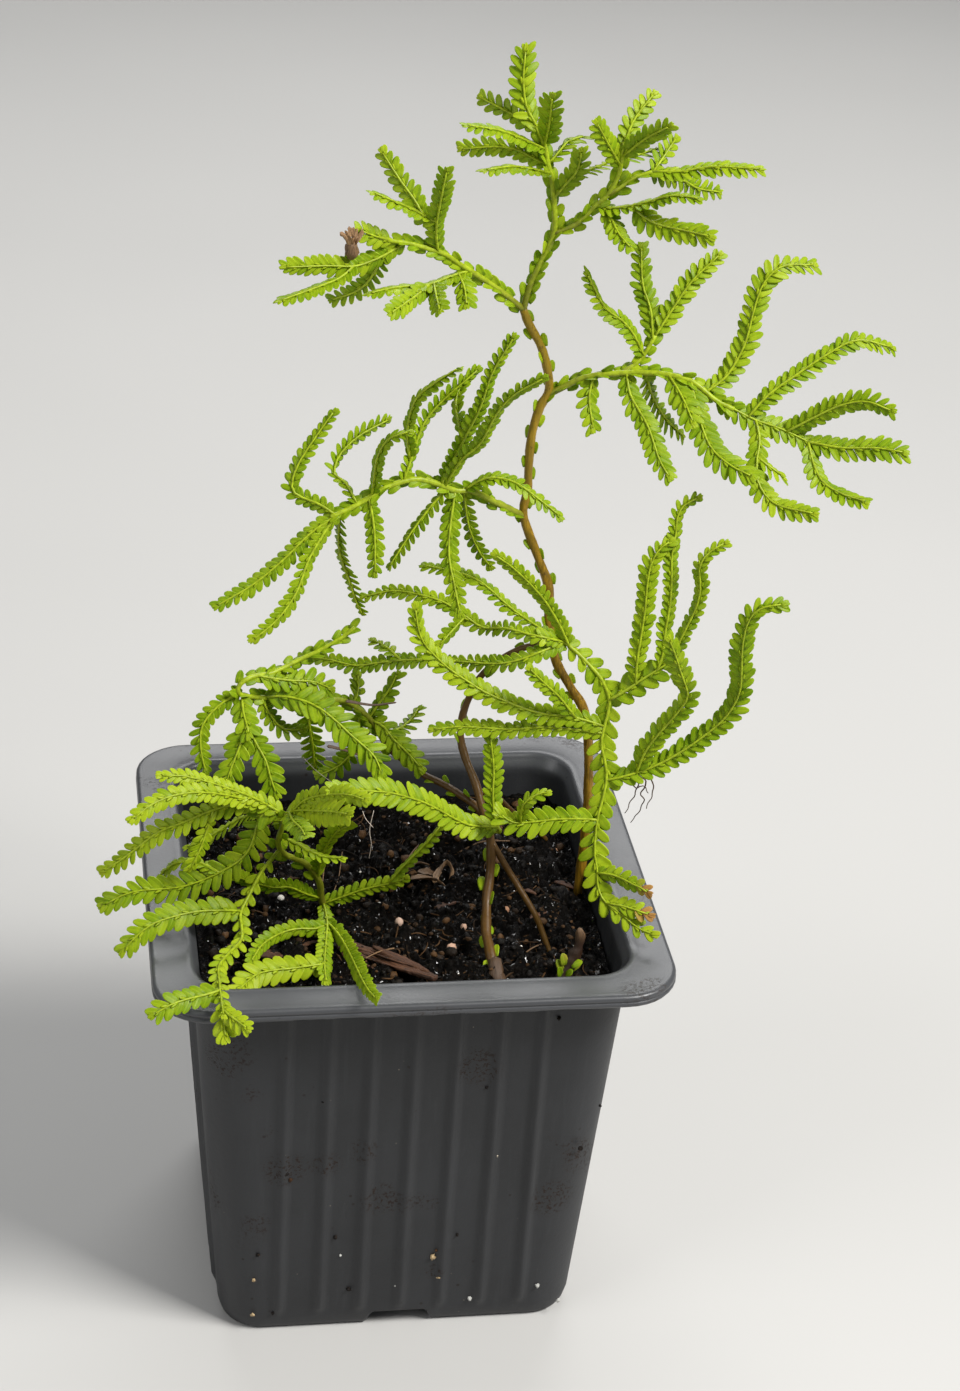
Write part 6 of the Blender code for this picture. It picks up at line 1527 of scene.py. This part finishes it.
def build_spray(number):
    """One spray: round profiles carried along its stems and ribs, and lens shaped leaves set along
    them by leaf_blades."""
    name, stem_rows, frond_rows, tone, turns = SPRAYS[number]
    noise = np.random.default_rng(100 + number)
    spray, stems, leaves = Spray(), Skin(), Skin()
    for row in stem_rows:
        spray.stem(*row)
    for row in frond_rows:
        spray.frond(*row)
    for path, root, tip in spray.stems:
        radius = np.linspace(root, tip, len(path)) * 0.92
        old = np.interp(np.linspace(0.0, 1.0, len(path)), (0.0, 0.3, 1.0),
                        (0.8, 0.6, 0.4) if name == "left_shoot" else (0.62, 0.35, 0.1))
        tube(stems, path, radius, 8, tone=by_ring(old, 8, (old[0], old[-1])))
        if name == "left_shoot":
            clothe_stem(leaves, noise, path, radius, 2.4, 2.2, tone, (0.35, 1.0), 24.0, 0.6)
        elif name != "low_spray":
            clothe_stem(leaves, noise, path, radius, 2.3, 0.95, tone, (0.0, 1.0), 21.0, 0.8)
    for order, frond in enumerate(spray.fronds):
        lighter, *dry = turns.get(order, (0.0, 0.0, 0.0))
        clothe_frond(leaves, stems, noise, frond, tone + lighter, dry, *LUSH.get(name, (1.0, 0.85)))
    stems.piece(name + "_stems", "green_stem", name, "foliage")
    leaves.piece(name + "_leaves", "scale_leaf", name, "foliage")


# Stage
def build_table():
    """A wide flat table top at the pot's foot."""
    half, steps = 3.0, 24
    line = np.linspace(-half, half, steps + 1)
    x, y = np.meshgrid(line, line)
    verts = np.stack([x, y, np.zeros_like(x)], axis=-1).reshape(-1, 3)
    row, step = np.meshgrid(np.arange(steps), np.arange(steps), indexing="ij")
    first = row * (steps + 1) + step
    faces = np.stack([first, first + 1, first + steps + 2, first + steps + 1], axis=-1).reshape(-1, 4)
    mesh = bpy.data.meshes.new("table_top")
    mesh.from_pydata(verts.tolist(), [], faces.tolist())
    mesh.materials.append(look_named("pale_table"))
    item = bpy.data.objects.new("table_top", mesh)
    bpy.context.scene.collection.objects.link(item)


def soft_light(name, place, aim, size, power, colour=(1.0, 1.0, 1.0)):
    """A rectangular light at a place, turned to what it aims at."""
    light = bpy.data.lights.new(name, "AREA")
    light.shape = "RECTANGLE"
    light.size, light.size_y = size
    light.energy = power
    light.color = colour
    item = bpy.data.objects.new(name, light)
    item.location = place
    item.rotation_mode = "QUATERNION"
    item.rotation_quaternion = (Vector(aim) - Vector(place)).to_track_quat("-Z", "Y")
    bpy.context.scene.collection.objects.link(item)


def build_lights():
    """The plain view transform, a faint even fill, and three soft lights."""
    bpy.context.scene.view_settings.view_transform = "Standard"
    world = bpy.data.worlds.new("studio")
    world.use_nodes = True
    fill = world.node_tree.nodes["Background"]
    fill.inputs["Color"].default_value = (0.93, 0.96, 1.0, 1.0)
    fill.inputs["Strength"].default_value = 0.17
    bpy.context.scene.world = world
    soft_light("key", (0.60, -0.44, 0.93), (0.0, 0.0, 0.10), (0.40, 0.40), 19.0, (1.0, 0.985, 0.96))
    soft_light("side", (-0.85, -0.35, 0.60), (0.0, 0.0, 0.10), (0.6, 0.6), 3.6)
    soft_light("back", (0.10, 0.80, 0.70), (0.0, 0.0, 0.12), (0.8, 0.4), 5.0)


def build_camera():
    """The camera at the picture's eye, turned by its heading, pitch and roll."""
    heading, pitch, roll = map(math.radians, (EYE_TURN, EYE_PITCH, EYE_ROLL))
    ahead = Vector((-math.sin(heading) * math.cos(pitch), math.cos(heading) * math.cos(pitch),
                    -math.sin(pitch)))
    level = ahead.cross(Vector((0, 0, 1))).normalized()
    rise = level.cross(ahead)
    right = math.cos(roll) * level + math.sin(roll) * rise
    up = -math.sin(roll) * level + math.cos(roll) * rise
    lens = bpy.data.cameras.new("picture")
    lens.lens = LENS
    lens.sensor_fit = "VERTICAL"
    lens.sensor_height = SENSOR_HEIGHT
    lens.clip_start, lens.clip_end = 0.01, 20.0
    camera = bpy.data.objects.new("picture", lens)
    camera.matrix_world = Matrix((
        (right.x, up.x, -ahead.x, EYE[0] * MM), (right.y, up.y, -ahead.y, EYE[1] * MM),
        (right.z, up.z, -ahead.z, EYE[2] * MM), (0, 0, 0, 1)))
    bpy.context.scene.collection.objects.link(camera)
    bpy.context.scene.camera = camera


# Operators, panel and registration
class SPIKEMOSS_OT_pot(bpy.types.Operator):
    """Build the ribbed nursery pot"""

    bl_idname = "spikemoss.pot"
    bl_label = "Nursery Pot"

    def execute(self, context):
        build_pot()
        return {"FINISHED"}


class SPIKEMOSS_OT_soil(bpy.types.Operator):
    """Build the soil bed with its crumbs and fibres"""

    bl_idname = "spikemoss.soil"
    bl_label = "Soil"

    def execute(self, context):
        build_soil()
        build_litter()
        return {"FINISHED"}


class SPIKEMOSS_OT_bits(bpy.types.Operator):
    """Lay grit, bark chips and dried bits on the soil"""

    bl_idname = "spikemoss.bits"
    bl_label = "Grit, Bark and Dried Bits"

    def execute(self, context):
        build_grit()
        build_wall_crumbs()
        build_bark()
        build_dried()
        build_hairs()
        return {"FINISHED"}


class SPIKEMOSS_OT_old_stems(bpy.types.Operator):
    """Build the brown leader and the arching stem"""

    bl_idname = "spikemoss.old_stems"
    bl_label = "Old Stems"

    def execute(self, context):
        build_leader()
        build_arch()
        return {"FINISHED"}


class SPIKEMOSS_OT_sprays(bpy.types.Operator):
    """Grow the leafy sprays and shoots"""

    bl_idname = "spikemoss.sprays"
    bl_label = "Sprays and Shoots"

    def execute(self, context):
        for number in range(len(SPRAYS)):
            build_spray(number)
        return {"FINISHED"}


class SPIKEMOSS_OT_stage(bpy.types.Operator):
    """Set the table, the soft lights and the camera"""

    bl_idname = "spikemoss.stage"
    bl_label = "Table, Lights and Camera"

    def execute(self, context):
        build_table()
        build_lights()
        build_camera()
        return {"FINISHED"}


STEPS = (SPIKEMOSS_OT_pot, SPIKEMOSS_OT_soil, SPIKEMOSS_OT_bits, SPIKEMOSS_OT_old_stems,
         SPIKEMOSS_OT_sprays, SPIKEMOSS_OT_stage)


class SPIKEMOSS_PT_panel(bpy.types.Panel):
    """Lists the pieces and what can be changed"""

    bl_label = "Potted Spikemoss"
    bl_idname = "SPIKEMOSS_PT_panel"
    bl_space_type = "VIEW_3D"
    bl_region_type = "UI"
    bl_category = "Spikemoss"

    def draw(self, context):
        layout = self.layout
        for group in (context.scene.spikemoss_sizes, context.scene.spikemoss_colours):
            box = layout.box()
            for name in group.__annotations__:
                box.prop(group, name)
        for step in STEPS:
            layout.operator(step.bl_idname)


CLASSES = (SpikemossSizes, SpikemossColours, *STEPS, SPIKEMOSS_PT_panel)


def register():
    for kind in CLASSES:
        bpy.utils.register_class(kind)
    bpy.types.Scene.spikemoss_sizes = PointerProperty(type=SpikemossSizes)
    bpy.types.Scene.spikemoss_colours = PointerProperty(type=SpikemossColours)


def unregister():
    del bpy.types.Scene.spikemoss_colours
    del bpy.types.Scene.spikemoss_sizes
    for kind in reversed(CLASSES):
        bpy.utils.unregister_class(kind)


def main():
    register()
    for step in STEPS:
        group, name = step.bl_idname.split(".")
        result = getattr(getattr(bpy.ops, group), name)()
        if "FINISHED" not in result:
            raise RuntimeError(f"{step.bl_label} did not finish")


if __name__ == "__main__":
    main()
